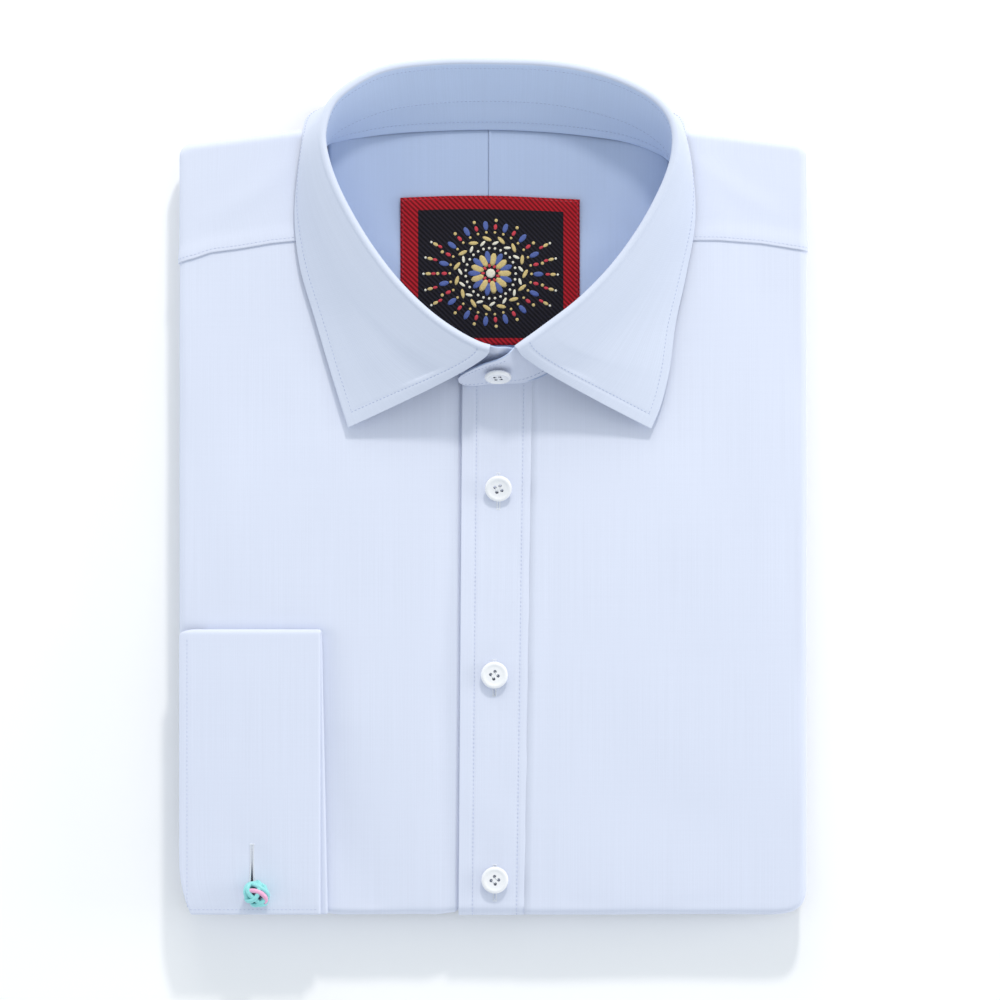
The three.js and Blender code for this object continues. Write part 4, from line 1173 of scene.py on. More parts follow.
@dataclass
class Yokes:
    """Outer yokes over the shoulders, and the split inner yoke on the floor of the neck."""

    form: BodyForm
    collar: CollarForm
    wall: float = 0.5
    lap_height: float = 0.5
    stitch_inset: float = 1.7
    centre_x: float = -1.7
    deepest_wrap: float = 0.97

    def outer_point(self, side: int, column: float, row: float) -> Vector:
        """Gives a point of the outer yoke's upper face.

        Args:
            side: -1 for the wearer's right, 1 for the left.
            column: 0 at the neck, 1 where the side's roll starts, and on round it.
            row: 0 at the front seam, 1 where the shoulder's roll starts, and on round it.

        Returns:
            The point.
        """
        form = self.form
        row_share = clamp(row, 0.0, 1.0)
        inner = self.collar.neck_side_x(side, lerp(105, form.flat_top_y(0), row_share)) + side * 1.6
        x = lerp(inner, side * form.flat_x, column) if column <= 1 else side * (
            form.flat_x + (column - 1) * form.wrap_length)
        seam = read_table(form.yoke_seam_right if side < 0 else form.yoke_seam_left, x)
        top = form.flat_top_y(clamp(x, -form.flat_x, form.flat_x))
        y = lerp(seam, top, row_share) + max(row - 1, 0.0) * form.wrap_length + min(row, 0.0) * 40
        lap = self.lap_height * (1 - smoothstep(y, seam + 2, seam + 9)) + 0.04
        return form.cover_point(x, y, form.cover_out + lap, Press.NONE)

    def outer(self, side: int, name: str, node: str, cloth: bpy.types.Material) -> None:
        """Lays one outer yoke.

        Args:
            side: -1 for the wearer's right, 1 for the left.
            name: The piece's name.
            node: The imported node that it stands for.
            cloth: Its cloth.
        """
        width, length = 56.0, 42.0
        waves = lambda column, row: 0.12 * math.sin(column * 5 + row * 3) * math.sin(math.pi * clamp(row, 0, 1))
        crease = Crease(((0.1, 0.9), (0.5, 0.55), (0.95, 0.3)), 0.12, 0.35)
        sheet = ClothSheet(
            name, between([0.0, 1.0, 1 + self.deepest_wrap], [38, 10]),
            between([0.0, 0.05, 0.12, 1.0, 1 + self.deepest_wrap], [3, 4, 24, 10]),
            lambda column, row: self.outer_point(side, column, row),
            flat_at=lambda column, row: (side * column * width, 110 + row * length),
            wall=self.wall, flip=side < 0,
            relief=lambda column, row: waves(column, row) + crease.height(column, row))
        piece = report(sheet.build(cloth), Slot.POPLIN, node)

    def seam_line(self, side: int) -> Trace:
        """Returns the line that holds an outer yoke to its front."""
        surface = lambda column, row: self.outer_point(side, column, row)
        row = self.stitch_inset / 42.0
        trace = [standing_on(surface, column, row, (0.01, 0.01)) for column in evenly(60, 0.02, 1.5)]
        return [(point, normal * side) for point, normal in trace]

    def inner(self, side: int, name: str, node: str, cloth: bpy.types.Material) -> None:
        """Lays one half of the inner yoke.

        Args:
            side: -1 for the wearer's right, 1 for the left.
            name: The piece's name.
            node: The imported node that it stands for.
            cloth: Its cloth.
        """
        form = self.form
        far = form.well_ends[0] if side < 0 else form.well_ends[1]
        near = self.centre_x if side > 0 else self.centre_x - 0.2
        crease = Crease(((side * 20, 74.0), (side * 48, 104.0), (side * 58, 140.0)), 7.0, 0.5)

        def point(x: float, share: float) -> Vector:
            y = lerp(form.well_front(x), self.collar.well_back(x) + 0.5, share)
            ridge = 0.45 * math.exp(-(((x - self.centre_x) / 0.8) ** 2)) if side > 0 else 0.0
            return Vector((x, y, form.inner_yoke_top(x, y) - 0.1 + ridge + crease.height(x, y) * (y > 60)))

        sheet = ClothSheet(
            name, between([near, near + side * 3, far], [6, 36]), evenly(44), point,
            flat_at=lambda x, share: (x, share * 100), wall=self.wall, flip=side < 0)
        piece = report(sheet.build(cloth), Slot.POPLIN, node)

    def build(self, cloth: bpy.types.Material, inside: bpy.types.Material, sewing: Sewing) -> None:
        """Lays and sews all four yoke pieces, the inner ones in the darker cloth that paints the shade inside the
        neck.
        """
        self.outer(-1, "outer_yoke_right_cloth", "yoke_outer_right", cloth)
        self.outer(1, "outer_yoke_left_cloth", "yoke_outer_left", cloth)
        self.inner(-1, "inner_yoke_right_cloth", "yoke_inner_right", inside)
        self.inner(1, "inner_yoke_left_cloth", "yoke_inner_left", inside)
        report(sewing.seams("yoke_stitching", [self.seam_line(-1), self.seam_line(1)]), Slot.POPLIN)


@dataclass
class Collar:
    """The stand and the leaf, both stiffened, with their edges turned and stitched."""

    form: CollarForm
    wall: float = 0.9
    front_inset: float = 5.4
    outer_inset: float = 3.9
    groove_width: float = 0.75
    groove_depth: float = 0.09
    creases: tuple[Crease, ...] = (
        Crease(((0.0, 0.70), (0.06, 0.72), (0.15, 0.66)), 0.06, -0.7),
        Crease(((0.12, 0.86), (0.19, 0.66), (0.21, 0.46)), 0.04, 0.35),
        Crease(((1.0, 0.66), (0.93, 0.70), (0.86, 0.64)), 0.06, -0.55),
        Crease(((0.90, 0.84), (0.82, 0.66), (0.80, 0.46)), 0.04, 0.3),
        Crease(((0.40, 0.5), (0.47, 0.62), (0.50, 0.8)), 0.03, 0.4),
        Crease(((0.62, 0.45), (0.58, 0.6), (0.60, 0.85)), 0.03, -0.35),
    )

    def insets(self, share: float, row: float) -> tuple[float, float]:
        """Returns the distances in millimetres from the leaf's nearer front edge and from its outer edge."""
        near = min(share, 1 - share)
        place = self.form.leaf_point(share, row)
        step = 0.004
        spread = (self.form.leaf_point(clamp(share + step, 0, 1), row)
                  - self.form.leaf_point(clamp(share - step, 0, 1), row)).length
        span = min(share + step, 1) - max(share - step, 0)
        outer = (self.form.leaf_point(share, 1.0) - place).length
        return near * spread / span, outer

    def leaf_relief(self, share: float, row: float) -> float:
        """Returns the turned edge's fullness, the stitch groove and the laid-in folds of the leaf."""
        if row < 0.33:
            return 0.0
        front, outer = self.insets(share, row)
        inset = min(front - self.front_inset, outer - self.outer_inset)
        groove = -self.groove_depth * math.exp(-((inset / self.groove_width) ** 2))
        full = 0.05 * smoothstep(-inset, 0.4, 1.6)
        folds = sum(crease.height(share, row) for crease in self.creases)
        return groove + full + folds * smoothstep(inset, 0.0, 6.0)

    def leaf_line(self) -> Trace:
        """Returns the stitch line round the leaf's three free edges."""
        corner_share, corner_row = self.meeting()
        down = [(self.share_in(row), row) for row in evenly(46, 0.26, corner_row)]
        across = [(share, self.row_in(share)) for share in evenly(330, corner_share[0], corner_share[1])]
        up = [(1 - self.share_in(row, 1), row) for row in evenly(46, corner_row, 0.26)]
        trace = []
        for share, row in [*down, *across, *up]:
            point, up = standing_on(self.form.leaf_point, clamp(share, 0.004, 0.996), min(row, 0.985), (0.003, 0.01))
            trace.append((point + up * (self.wall / 2 + self.leaf_relief(share, row) + 0.02), up))
        return trace

    def share_in(self, row: float, side: int = 0) -> float:
        """Returns how far along the leaf the front stitch line lies at a row, from that front edge."""
        edge = 1.0 if side else 0.0
        inwards = -0.01 if side else 0.01
        pace = (self.form.leaf_point(edge + inwards, row) - self.form.leaf_point(edge, row)).length / 0.01
        return self.front_inset / pace

    def row_in(self, share: float) -> float:
        """Returns the row of the outer stitch line at a share along the leaf."""
        pace = (self.form.leaf_point(share, 1.0) - self.form.leaf_point(share, 0.97)).length / 0.03
        return 1 - self.outer_inset / pace

    def meeting(self) -> tuple[tuple[float, float], float]:
        """Returns where the front lines meet the outer one: both shares along the leaf, and their row."""
        row = self.row_in(0.012)
        return (self.share_in(row), 1 - self.share_in(row, 1)), row

    def leaf(self, cloth: bpy.types.Material, sewing: Sewing) -> None:
        """Lays the leaf over the stand and sews its edges."""
        columns = between([0.0, 0.004, 0.028, 0.25, 0.75, 0.972, 0.996, 1.0], [2, 14, 52, 56, 52, 14, 2])
        rows = between([-0.06, 0.0, 0.3, 0.8, 0.985, 1.0], [1, 10, 16, 13, 2])
        sheet = ClothSheet(
            "leaf_cloth", columns, rows, self.form.leaf_point,
            flat_at=lambda share, row: (row * 52.0, share * 420.0),
            wall=self.wall, side=0.0, rounding=1, relief=self.leaf_relief)
        piece = report(sheet.build(cloth), Slot.POPLIN, "collar_leaf")
        report(sewing.seams("leaf_stitching", [self.leaf_line()]), Slot.POPLIN)

    def stand_relief(self, column: float, row: float) -> float:
        """Returns the groove at the stand's foot and its soft waves, towards the neck."""
        foot = -0.13 * math.exp(-(((row - 0.07) / 0.03) ** 2))
        return foot + 0.25 * math.sin(column * 37.0) * math.sin(math.pi * clamp(row, 0, 1)) * smoothstep(row, 0.1, 0.4)

    def stand_line(self, places: Iterable[tuple[float, float]], side: int) -> Trace:
        """Returns a stitch line along the stand.

        Args:
            places: Columns and rows of the stand.
            side: -1 for the inner face, 1 for the outer one.

        Returns:
            The line.
        """
        trace = []
        for column, row in places:
            square = self.form.frame(column * self.form.last).square
            out = side * (self.wall / 2 + 0.03) - self.stand_relief(column, row)
            trace.append((self.form.stand_point(column, row) + square * out, square * side))
        return trace

    def stand(self, inside: bpy.types.Material, cloth: bpy.types.Material, sewing: Sewing) -> None:
        """Sets up the stand, its inner face in the darker cloth that paints the shade inside the collar and its outer
        face in the plain cloth, and sews its foot, its run and its top.
        """
        sheet = ClothSheet(
            "stand_band", between([0.0, 0.01, 0.99, 1.0], [3, 180, 3]), between([-0.03, 0.14, 0.9, 1.0], [6, 14, 4]),
            self.form.stand_point, flat_at=lambda column, row: (column * 460.0, row * 33.0),
            wall=self.wall, side=0.0, rounding=1, relief=self.stand_relief, lining=cloth)
        piece = report(sheet.build(inside), Slot.POPLIN, "collar_stand")
        inner, run = evenly(400, 0.14, 0.84), evenly(190, 0.31, 0.66)
        lines = [
            self.stand_line([(column, 0.1) for column in inner], -1),
            self.stand_line([(column, 0.93) for column in inner], -1),
            self.stand_line([(column, 0.42 - 9.0 * (column - 0.47) ** 2) for column in run], -1),
            self.stand_line([(column, 0.1) for column in evenly(90, 0.80, 0.985)], 1),
            self.stand_line([(column, 0.86) for column in evenly(60, 0.86, 0.975)], 1)]
        report(sewing.seams("stand_stitching", lines), Slot.POPLIN)


@dataclass
class NeckLabel:
    """The woven label on the inner yoke, with a made-up ornament in its field."""

    form: BodyForm
    corner_low: tuple[float, float] = (-39.2, 60.2)
    corner_high: tuple[float, float] = (36.7, 123.0)
    field_low: tuple[float, float] = (-31.7, 63.2)
    field_high: tuple[float, float] = (29.8, 117.4)
    centre: tuple[float, float] = (-1.0, 90.4)
    wall: float = 0.6
    lift: float = 0.3

    def point(self, x: float, y: float) -> Vector:
        """Returns a point of the label's upper face, its top edge bowed."""
        edge = min(x - self.corner_low[0], self.corner_high[0] - x, self.corner_high[1] - y)
        puff = 0.35 * smoothstep(edge, 0.6, 3.0) + 0.12 * math.sin(x / 7.0) * math.sin(y / 9.0)
        corner = smoothstep(abs(x + 1.2), 24, 38) * smoothstep(y, 104, 123)
        bow = (y - self.corner_low[1]) / 63.0 * (1.3 * math.cos((x + 8.0) / 24.0) - 0.9)
        return Vector((x, y + bow, self.form.inner_yoke_top(x, y) + self.lift + self.wall + puff + 0.7 * corner))

    def motif(self, bm: bmesh.types.BMesh, x: float, y: float, size: tuple[float, float], turn: float) -> None:
        """Adds one woven figure.

        Args:
            bm: The shape to add it to.
            x: Its place across, from the ornament's middle.
            y: Its place along, from the ornament's middle.
            size: Its length and width.
            turn: Direction of its length, in degrees.
        """
        place = self.point(self.centre[0] + x, self.centre[1] + y)
        scale = Matrix.Diagonal((size[0] / 2, size[1] / 2, 0.2, 1.0))
        spin = Matrix.Rotation(math.radians(turn), 4, "Z")
        matrix = Matrix.Translation(place * MM) @ spin @ Matrix.Scale(MM, 4) @ scale
        bmesh.ops.create_uvsphere(bm, u_segments=10, v_segments=5, radius=1.0, matrix=matrix)

    @staticmethod
    def ring(petals: int, radius: float, size: tuple[float, float], offset: float = 0.0, lean: float = 0.0) -> list:
        """Returns places, sizes and turns of petals in a ring, each leaning from its spoke."""
        turns = [360.0 * index / petals + offset for index in range(petals)]
        return [(radius * math.cos(math.radians(turn)), radius * math.sin(math.radians(turn)), size, turn + lean)
                for turn in turns]

    def figures(self) -> dict[str, list[tuple]]:
        """Returns the figures of each colour: place, size and turn."""
        gold = self.ring(9, 5.9, (6.0, 3.0)) + self.ring(15, 14.6, (4.4, 1.7), 0.0, 62)
        gold += self.ring(30, 17.3, (1.2, 1.2)) + self.ring(15, 22.4, (1.5, 1.5), 12.0)
        cream = [(0.0, 0.0, (4.2, 4.2), 0.0)] + self.ring(27, 10.6, (1.2, 1.2)) + self.ring(15, 12.9, (3.2, 1.3), 9.0, -58)
        blue = self.ring(9, 6.9, (5.8, 2.6), 20.0) + self.ring(15, 20.2, (4.6, 2.3), 0.0)
        scarlet = self.ring(9, 3.2, (1.7, 1.2), 20.0) + self.ring(15, 19.6, (2.6, 1.6), 12.0)
        for side in (-1, 1):
            for step in (-2, -1, 0, 1, 2):
                fan = 90 - 90 * side + 14.0 * step
                reach = (math.cos(math.radians(fan)), math.sin(math.radians(fan)))
                for shade, out, size in ((scarlet, 24.2, (2.2, 1.3)), (gold, 26.4, (2.6, 1.5)), (cream, 28.4, (1.1, 1.1))):
                    shade.append((reach[0] * out, reach[1] * out, size, fan))
        return {"gold": gold, "cream": cream, "blue": blue, "scarlet": scarlet}

    def build(self, weave: bpy.types.Material, sewing: Sewing) -> None:
        """Lays the label, its ornament and the stitches that hold it."""
        sheet = ClothSheet(
            "label_cloth", evenly(60, self.corner_low[0], self.corner_high[0]),
            evenly(50, self.corner_low[1], self.corner_high[1]), self.point,
            flat_at=lambda x, y: (x, y), wall=self.wall, rounding=0)
        piece = report(sheet.build(weave), Slot.LABEL, "neck_label")
        shades = {"gold": (0.62, 0.47, 0.18), "cream": (0.78, 0.73, 0.58), "blue": (0.07, 0.11, 0.33),
                  "scarlet": (0.55, 0.03, 0.05)}
        for shade, places in self.figures().items():
            bm = bmesh.new()
            for x, y, size, turn in places:
                self.motif(bm, x, y, size, turn)
            yarn = Yarn(f"label_{shade}_yarn", shades[shade], fibre=1500.0, contrast=0.3).material()
            report(to_object(bm, f"label_{shade}_figures", yarn), Slot.LABEL)
        lines = []
        inset = 1.1
        low, high = self.corner_low, self.corner_high
        for start, end in (((low[0] + inset, low[1]), (low[0] + inset, high[1] - inset)),
                           ((low[0] + inset, high[1] - inset), (high[0] - inset, high[1] - inset)),
                           ((high[0] - inset, high[1] - inset), (high[0] - inset, low[1]))):
            points = [self.point(lerp(start[0], end[0], s), lerp(start[1], end[1], s)) for s in evenly(40)]
            lines.append([(point + Vector((0, 0, 0.05)), Vector((0, 0, 1))) for point in points])
        red = Yarn("label_thread", (0.42, 0.03, 0.05)).material()
        report(Sewing(red, pitch=2.0, length=1.4).seams("label_stitching", lines), Slot.LABEL)


@dataclass
class Cuff:
    """The double cuff, folded back at the hand and double round the wrist, and the sleeve's end in it."""

    form: BodyForm
    left_x: float = -132.4
    right_x: float = -72.6
    top_y: float = -59.7
    bottom_y: float = -180.2
    inner_edge_x: float = -122.0
    under_edge_x: float = -119.0
    layer: float = 1.0
    gap: float = 0.3
    stitch_inset: float = 3.4
    slit_x: float = -101.6
    slit_ends: tuple[float, float] = (-151.3, -171.5)
    slit_width: tuple[float, float] = (0.16, 1.5)
    hand_from: float = 0.44
    wrist_from: float = 0.46
    flare: tuple[float, float] = (0.6, 3.0)
    corner_from_y: float = -157.0
    corner_cut: float = 5.0
    droop: float = 0.02

    def corner(self, y: float) -> float:
        """Returns how far the rounded lower corner draws the loose edge in at y."""
        return self.corner_cut * clamp((self.corner_from_y - y) / (self.corner_from_y - self.bottom_y), 0.0, 1.0) ** 2

    def slit_half(self, share: float) -> float:
        """Returns half the width of the open buttonhole at a share down it."""
        return lerp(*self.slit_width, smoothstep(share, 0.25, 1.0)) / 2

    def point(self, across: float, around: float, out: float = 0.0) -> Vector:
        """Gives a point of the band's middle.

        Args:
            across: From the loose edge to the hand's fold and back to the sewn edge.
            around: From the lower half's end round the wrist's fold to the upper half's end.
            out: Distance from the middle of the wall.

        Returns:
            The point.
        """
        form = self.form
        middle = self.layer + self.gap
        step = middle / 2
        fold = clamp((across - self.hand_from) / (1 - 2 * self.hand_from), 0.0, 1.0) * math.pi
        radius = middle + (step + out) * math.cos(fold)
        wrist = clamp((around - self.wrist_from) / (1 - 2 * self.wrist_from), 0.0, 1.0) * math.pi
        upper = (1 - math.cos(wrist)) / 2
        flare = (1 - upper) * lerp(*self.flare, clamp(1 - around / self.wrist_from, 0.0, 1.0))
        loose = lerp(self.under_edge_x, self.left_x, upper)
        hand = self.right_x + flare - (step + self.layer / 2)
        run = clamp(min(across, 1 - across) / self.hand_from, 0.0, 1.0)
        length_share = clamp(min(around, 1 - around) / self.wrist_from, 0.0, 1.0)
        fold_y = self.top_y - (middle + step + self.layer / 2)
        y = lerp(self.bottom_y, fold_y, length_share) + radius * math.sin(wrist)
        corner = self.corner(y) * upper * (1 - run) if across < 0.5 else 0.0
        x = lerp(loose if across < 0.5 else self.inner_edge_x, hand, run) + (step + out) * math.sin(fold) + corner
        rest_x = clamp(x, -form.flat_x, form.flat_x)
        rest_y = clamp(y, form.flat_bottom_y, 0.0)
        past = math.hypot(x - rest_x, y - rest_y)
        underside = form.stack_top(rest_x, rest_y, Press.RIGHT) + form.cover_out + form.seam_gap
        z = underside + middle + step + self.layer / 2 - radius * math.cos(wrist) - self.droop * past**2
        return Vector((x, y, z))

    def relief(self, across: float, around: float) -> float:
        """Returns the groove under the edge stitches and the cuff's soft swell."""
        if around < 0.56 or across > self.hand_from:
            return 0.0
        place = self.point(across, around)
        from_left, from_end = place.x - self.left_x, place.y - self.bottom_y
        inset = min(from_left - self.stitch_inset, from_end - 2.2)
        groove = -0.12 * math.exp(-((inset / 0.7) ** 2))
        along = clamp((around - 0.56) / 0.44, 0.0, 1.0)
        swell = 0.3 * math.sin(math.pi * across / self.hand_from) * math.sin(math.pi * along)
        pull = Crease(((-100.5, -150.0), (-97.0, -160.0), (-92.0, -176.0)), 5.0, -0.35).height(place.x, place.y)
        tug = Crease(((-106.0, -152.0), (-108.0, -162.0), (-112.0, -176.0)), 4.0, 0.3).height(place.x, place.y)
        return groove + swell * smoothstep(inset, 0, 8) + pull + tug

    def top_trace(self, places: Iterable[tuple[float, float]]) -> Trace:
        """Returns a line on the upper layer through places (x, y)."""
        trace = []
        for x, y in places:
            around = 1 - self.wrist_from * clamp((y - self.bottom_y) / (self.top_y - 2.45 - self.bottom_y), 0.0, 1.0)
            left, hand = self.left_x + self.corner(y), self.right_x - 1.15
            across = self.hand_from * clamp((x - left) / (hand - left), 0.0, 1.0)
            height = (self.layer - 0.1) / 2 + self.relief(across, around) + 0.03
            trace.append((self.point(across, around) + Vector((0, 0, height)), Vector((0, 0, 1))))
        return trace

    def build(self, cloth: bpy.types.Material, sewing: Sewing) -> None:
        """Lays the cuff and the sleeve's end, and sews the cuff's edges."""
        across = between([0.0, 0.012, 0.06, 0.40, 0.44, 0.56, 0.6, 1.0], [2, 7, 24, 3, 9, 3, 12])
        around = between([0.0, 0.01, 0.42, 0.46, 0.54, 0.58, 0.93, 0.99, 1.0], [2, 18, 3, 9, 3, 40, 12, 2])
        sheet = ClothSheet(
            "cuff_band", across, around, self.point,
            flat_at=lambda a, b: (a * 122.0 - 130, b * 250.0), wall=self.layer - 0.1, side=0.0, flip=True, rounding=1,
            relief=self.relief)
        band = report(sheet.build(cloth), Slot.POPLIN, "cuff")
        self.cut_slit(band)
        left = [(self.left_x + self.stitch_inset, y) for y in evenly(120, self.top_y - 4, -178.0)]
        end = [(x, -178.0) for x in evenly(60, self.left_x + self.stitch_inset, self.right_x - 1.5)]
        report(sewing.seams("cuff_stitching", [self.top_trace(left), self.top_trace(end)]), Slot.POPLIN)
        self.sleeve(cloth)

    def cut_slit(self, band: bpy.types.Object) -> None:
        """Cuts the buttonhole, wider where the link pulls it open.

        Args:
            band: The cuff.
        """
        bm = bmesh.new()
        bmesh.ops.create_cone(bm, cap_ends=True, segments=20, radius1=0.5, radius2=0.5, depth=14.0)
        top, bottom = self.slit_ends
        for vert in bm.verts:
            share = 0.5 - vert.co.y
            across = self.slit_x + vert.co.x * 2 * self.slit_half(share)
            vert.co = Vector((across, lerp(top, bottom, share), 24.0 + vert.co.z)) * MM
        cutter = to_object(bm, "slit_cutter", band.data.materials[0])
        hole = band.modifiers.new("buttonhole", "BOOLEAN")
        hole.object = cutter
        hole.operation = "DIFFERENCE"
        hole.solver = "EXACT"
        graph = bpy.context.evaluated_depsgraph_get()
        cut = bpy.data.meshes.new_from_object(band.evaluated_get(graph))
        band.modifiers.clear()
        band.data = cut
        bpy.data.objects.remove(cutter)

    def sleeve(self, cloth: bpy.types.Material) -> None:
        """Lays the flattened end of the sleeve, from inside the cuff round the side."""
        form = self.form

        def point(column: float, y: float) -> Vector:
            x = -form.flat_x + column * form.wrap_length if column < 0 else lerp(
                -form.flat_x, self.inner_edge_x - 0.3, column)
            lift = max(column, 0.0)
            out = lerp(3.0, 4.9, lift) - 0.7 * smoothstep(-y, 150, 166)
            return form.cover_point(x, y, out, Press.RIGHT)

        pleats = (
            Crease(((-0.9, -92.0), (-0.3, -90.0), (0.9, -94.0)), 2.2, -0.4),
            Crease(((-0.9, -128.0), (-0.3, -131.0), (0.9, -129.0)), 2.6, -0.35))

        def relief(column: float, y: float) -> float:
            folds = 0.18 * math.sin(y / 6.3 + column) + 0.1 * math.sin(y / 2.9)
            return folds + sum(pleat.height(column * 8, y) for pleat in pleats)

        sheet = ClothSheet(
            "sleeve_cloth", between([-0.88, 0.0, 1.0], [14, 4]),
            evenly(80, form.flat_bottom_y + 9, self.top_y - 4), point,
            flat_at=lambda column, y: (column * 12, y), wall=0.9, rounding=1, relief=relief)
        piece = report(sheet.build(cloth), Slot.POPLIN, "sleeve_end")


@dataclass
class Layers:
    """The hidden layers: the flat back they lie on, their folded edges, and the cloth inside the neck."""

    form: BodyForm
    collar: CollarForm
    wall: float = 0.45
    neck_ends: tuple[float, float] = (-70.0, 75.5)
    folds: tuple[tuple[float, float, float, float], ...] = (
        (1.75, 1.35, 4.1, 0.3), (4.55, 1.1, 4.3, 1.9), (7.15, 1.2, 3.2, 3.4), (9.3, 0.7, 1.7, 5.2))

    def outline(self) -> list[tuple[Vector, Vector]]:
        """Returns the flat top's outline from the neck round to the neck, with the direction outwards."""
        form = self.form
        right, left = self.neck_ends
        corner_y = form.flat_top_y(form.flat_x)
        corners = [
            Vector((right, form.flat_top_y(right), 0)), Vector((-form.flat_x, corner_y, 0)),
            Vector((-form.flat_x, form.flat_bottom_y, 0)), Vector((form.flat_x, form.flat_bottom_y, 0)),
            Vector((form.flat_x, corner_y, 0)), Vector((left, form.flat_top_y(left), 0))]
        outwards = [Vector((0, 1, 0)), Vector((-1, 0, 0)), Vector((0, -1, 0)), Vector((1, 0, 0)), Vector((0, 1, 0))]
        line = []
        for index, (start, end) in enumerate(zip(corners, corners[1:])):
            count = max(2, round((end - start).length / 3.0))
            line.extend((start.lerp(end, share), outwards[index]) for share in evenly(count))
            if index < len(outwards) - 1:
                line.extend((end, outwards[index].lerp(outwards[index + 1], share).normalized())
                            for share in evenly(8)[1:-1])
        return line

    def edge(self, number: int, cloth: bpy.types.Material) -> bpy.types.Object:
        """Lays one folded layer whose edge shows below the fronts.

        Args:
            number: Which layer, counted from the bottom.
            cloth: Its cloth.

        Returns:
            The piece.
        """
        height, radius, reach, phase = self.folds[number]
        line = self.outline()
        form = self.form

        def point(place: float, turn: float) -> Vector:
            base, outwards = line[round(place)]
            hem = smoothstep(-outwards.y, 0.2, 1.0)
            wave = math.sin(place / 9.0 + phase) * 0.5 + math.sin(place / 23.0 + phase * 2.1) * 0.5
            size = radius * lerp(1.0, 0.32, hem) * (1 + 0.12 * wave)
            out = lerp(reach, 0.9 - 0.2 * number, hem) + 0.45 * wave - 0.3
            out -= form.recess(base.x, base.y) * abs(outwards.x)
            z = lerp(height, 1.1 + 0.5 * number, hem) + 0.15 * math.sin(place / 13.0 + phase)
            angle = clamp(turn, -1.0, 1.0) * math.pi / 2
            inwards = max(abs(turn) - 1.0, 0.0) * (1.2 if abs(outwards.x * outwards.y) > 0.01 else 12.0)
            place_out = base + outwards * (out - size + size * math.cos(angle) - inwards)
            rest = self.wall + 0.02
            return form.cut_corner(place_out) + Vector((0, 0, max(z + size * math.sin(angle), rest)))

        sheet = ClothSheet(
            f"layer_edge_{number + 1}", [float(index) for index in range(len(line))],
            between([-2.0, -1.0, 1.0, 2.0], [2, 8, 2]), point, flat_at=lambda place, turn: (turn * 8, place * 3.0),
            wall=self.wall)
        piece = report(sheet.build(cloth), Slot.POPLIN)
        return piece

    def core(self, cloth: bpy.types.Material) -> None:
        """Lays the back on the surface, under all the rest."""
        form = self.form
        right, left = self.neck_ends

        def point(x: float, share: float) -> Vector:
            top = form.flat_top_y(x) + 1.0
            y = lerp(form.flat_bottom_y - 0.5, top, share)
            step = 0.25 * (smoothstep(abs(x), 62, 66) + smoothstep(abs(y + 90), 2, 5))
            return form.cut_corner(Vector((x, y, self.wall + 0.02 + step)))

        sheet = ClothSheet(
            "layer_core", between([-form.flat_x - 1, -66, -62, 62, 66, form.flat_x + 1], [16, 4, 30, 4, 16]),
            evenly(90), point, flat_at=lambda x, share: (x, share * 320), wall=self.wall)
        piece = report(sheet.build(cloth), Slot.POPLIN, "folded_layers")

    def neck_fall(self, inside: bpy.types.Material) -> None:
        """Hangs the fronts' neckline edge down to the inner yoke inside the stand, in the darker cloth that paints the
        shade there.
        """
        form, collar = self.form, self.collar
        rows = [row for row in STAND_ROWS[2:9]][::-1] + [row for row in STAND_ROWS[20:26]][::-1]
        top = SmoothCurve([Vector((row[0], row[1], row[2])) for row in rows])

        def point(share: float, fall: float) -> Vector:
            high = top.at(share) + Vector((0, 0, 0.6))
            low_x = clamp(high.x * 0.97, form.well_ends[0] + 0.5, form.well_ends[1] - 0.5)
            low_y = max(form.well_front(low_x) + 0.2, high.y - 6 if high.y > 100 else -1e3)
            low = Vector((low_x, low_y, form.inner_yoke_top(low_x, low_y) - 0.4))
            bow = math.sin(math.pi * fall) * 1.6
            inwards = Vector((collar.centre[0] - high.x, collar.centre[1] - high.y, 0)).normalized()
            return high.lerp(low, fall) - inwards * bow

        sheet = ClothSheet(
            "neckline_fall", evenly(90), evenly(8), point, flat_at=lambda share, fall: (share * 300, fall * 12),
            wall=self.wall, side=0.0)
        piece = report(sheet.build(inside), Slot.POPLIN)

    def build(self, cloth: bpy.types.Material, inside: bpy.types.Material) -> None:
        """Lays the hidden layers from the bottom up."""
        self.core(cloth)
        for number in range(len(self.folds)):
            self.edge(number, cloth)
        self.neck_fall(inside)


@dataclass(frozen=True)
class ButtonPlace:
    """Where a button sits and how it leans."""

    name: str
    tilt: float
    turn: float
    sink: float = 0.0
    hole_shift: float = -1.2
    hole_length: float = 14.6


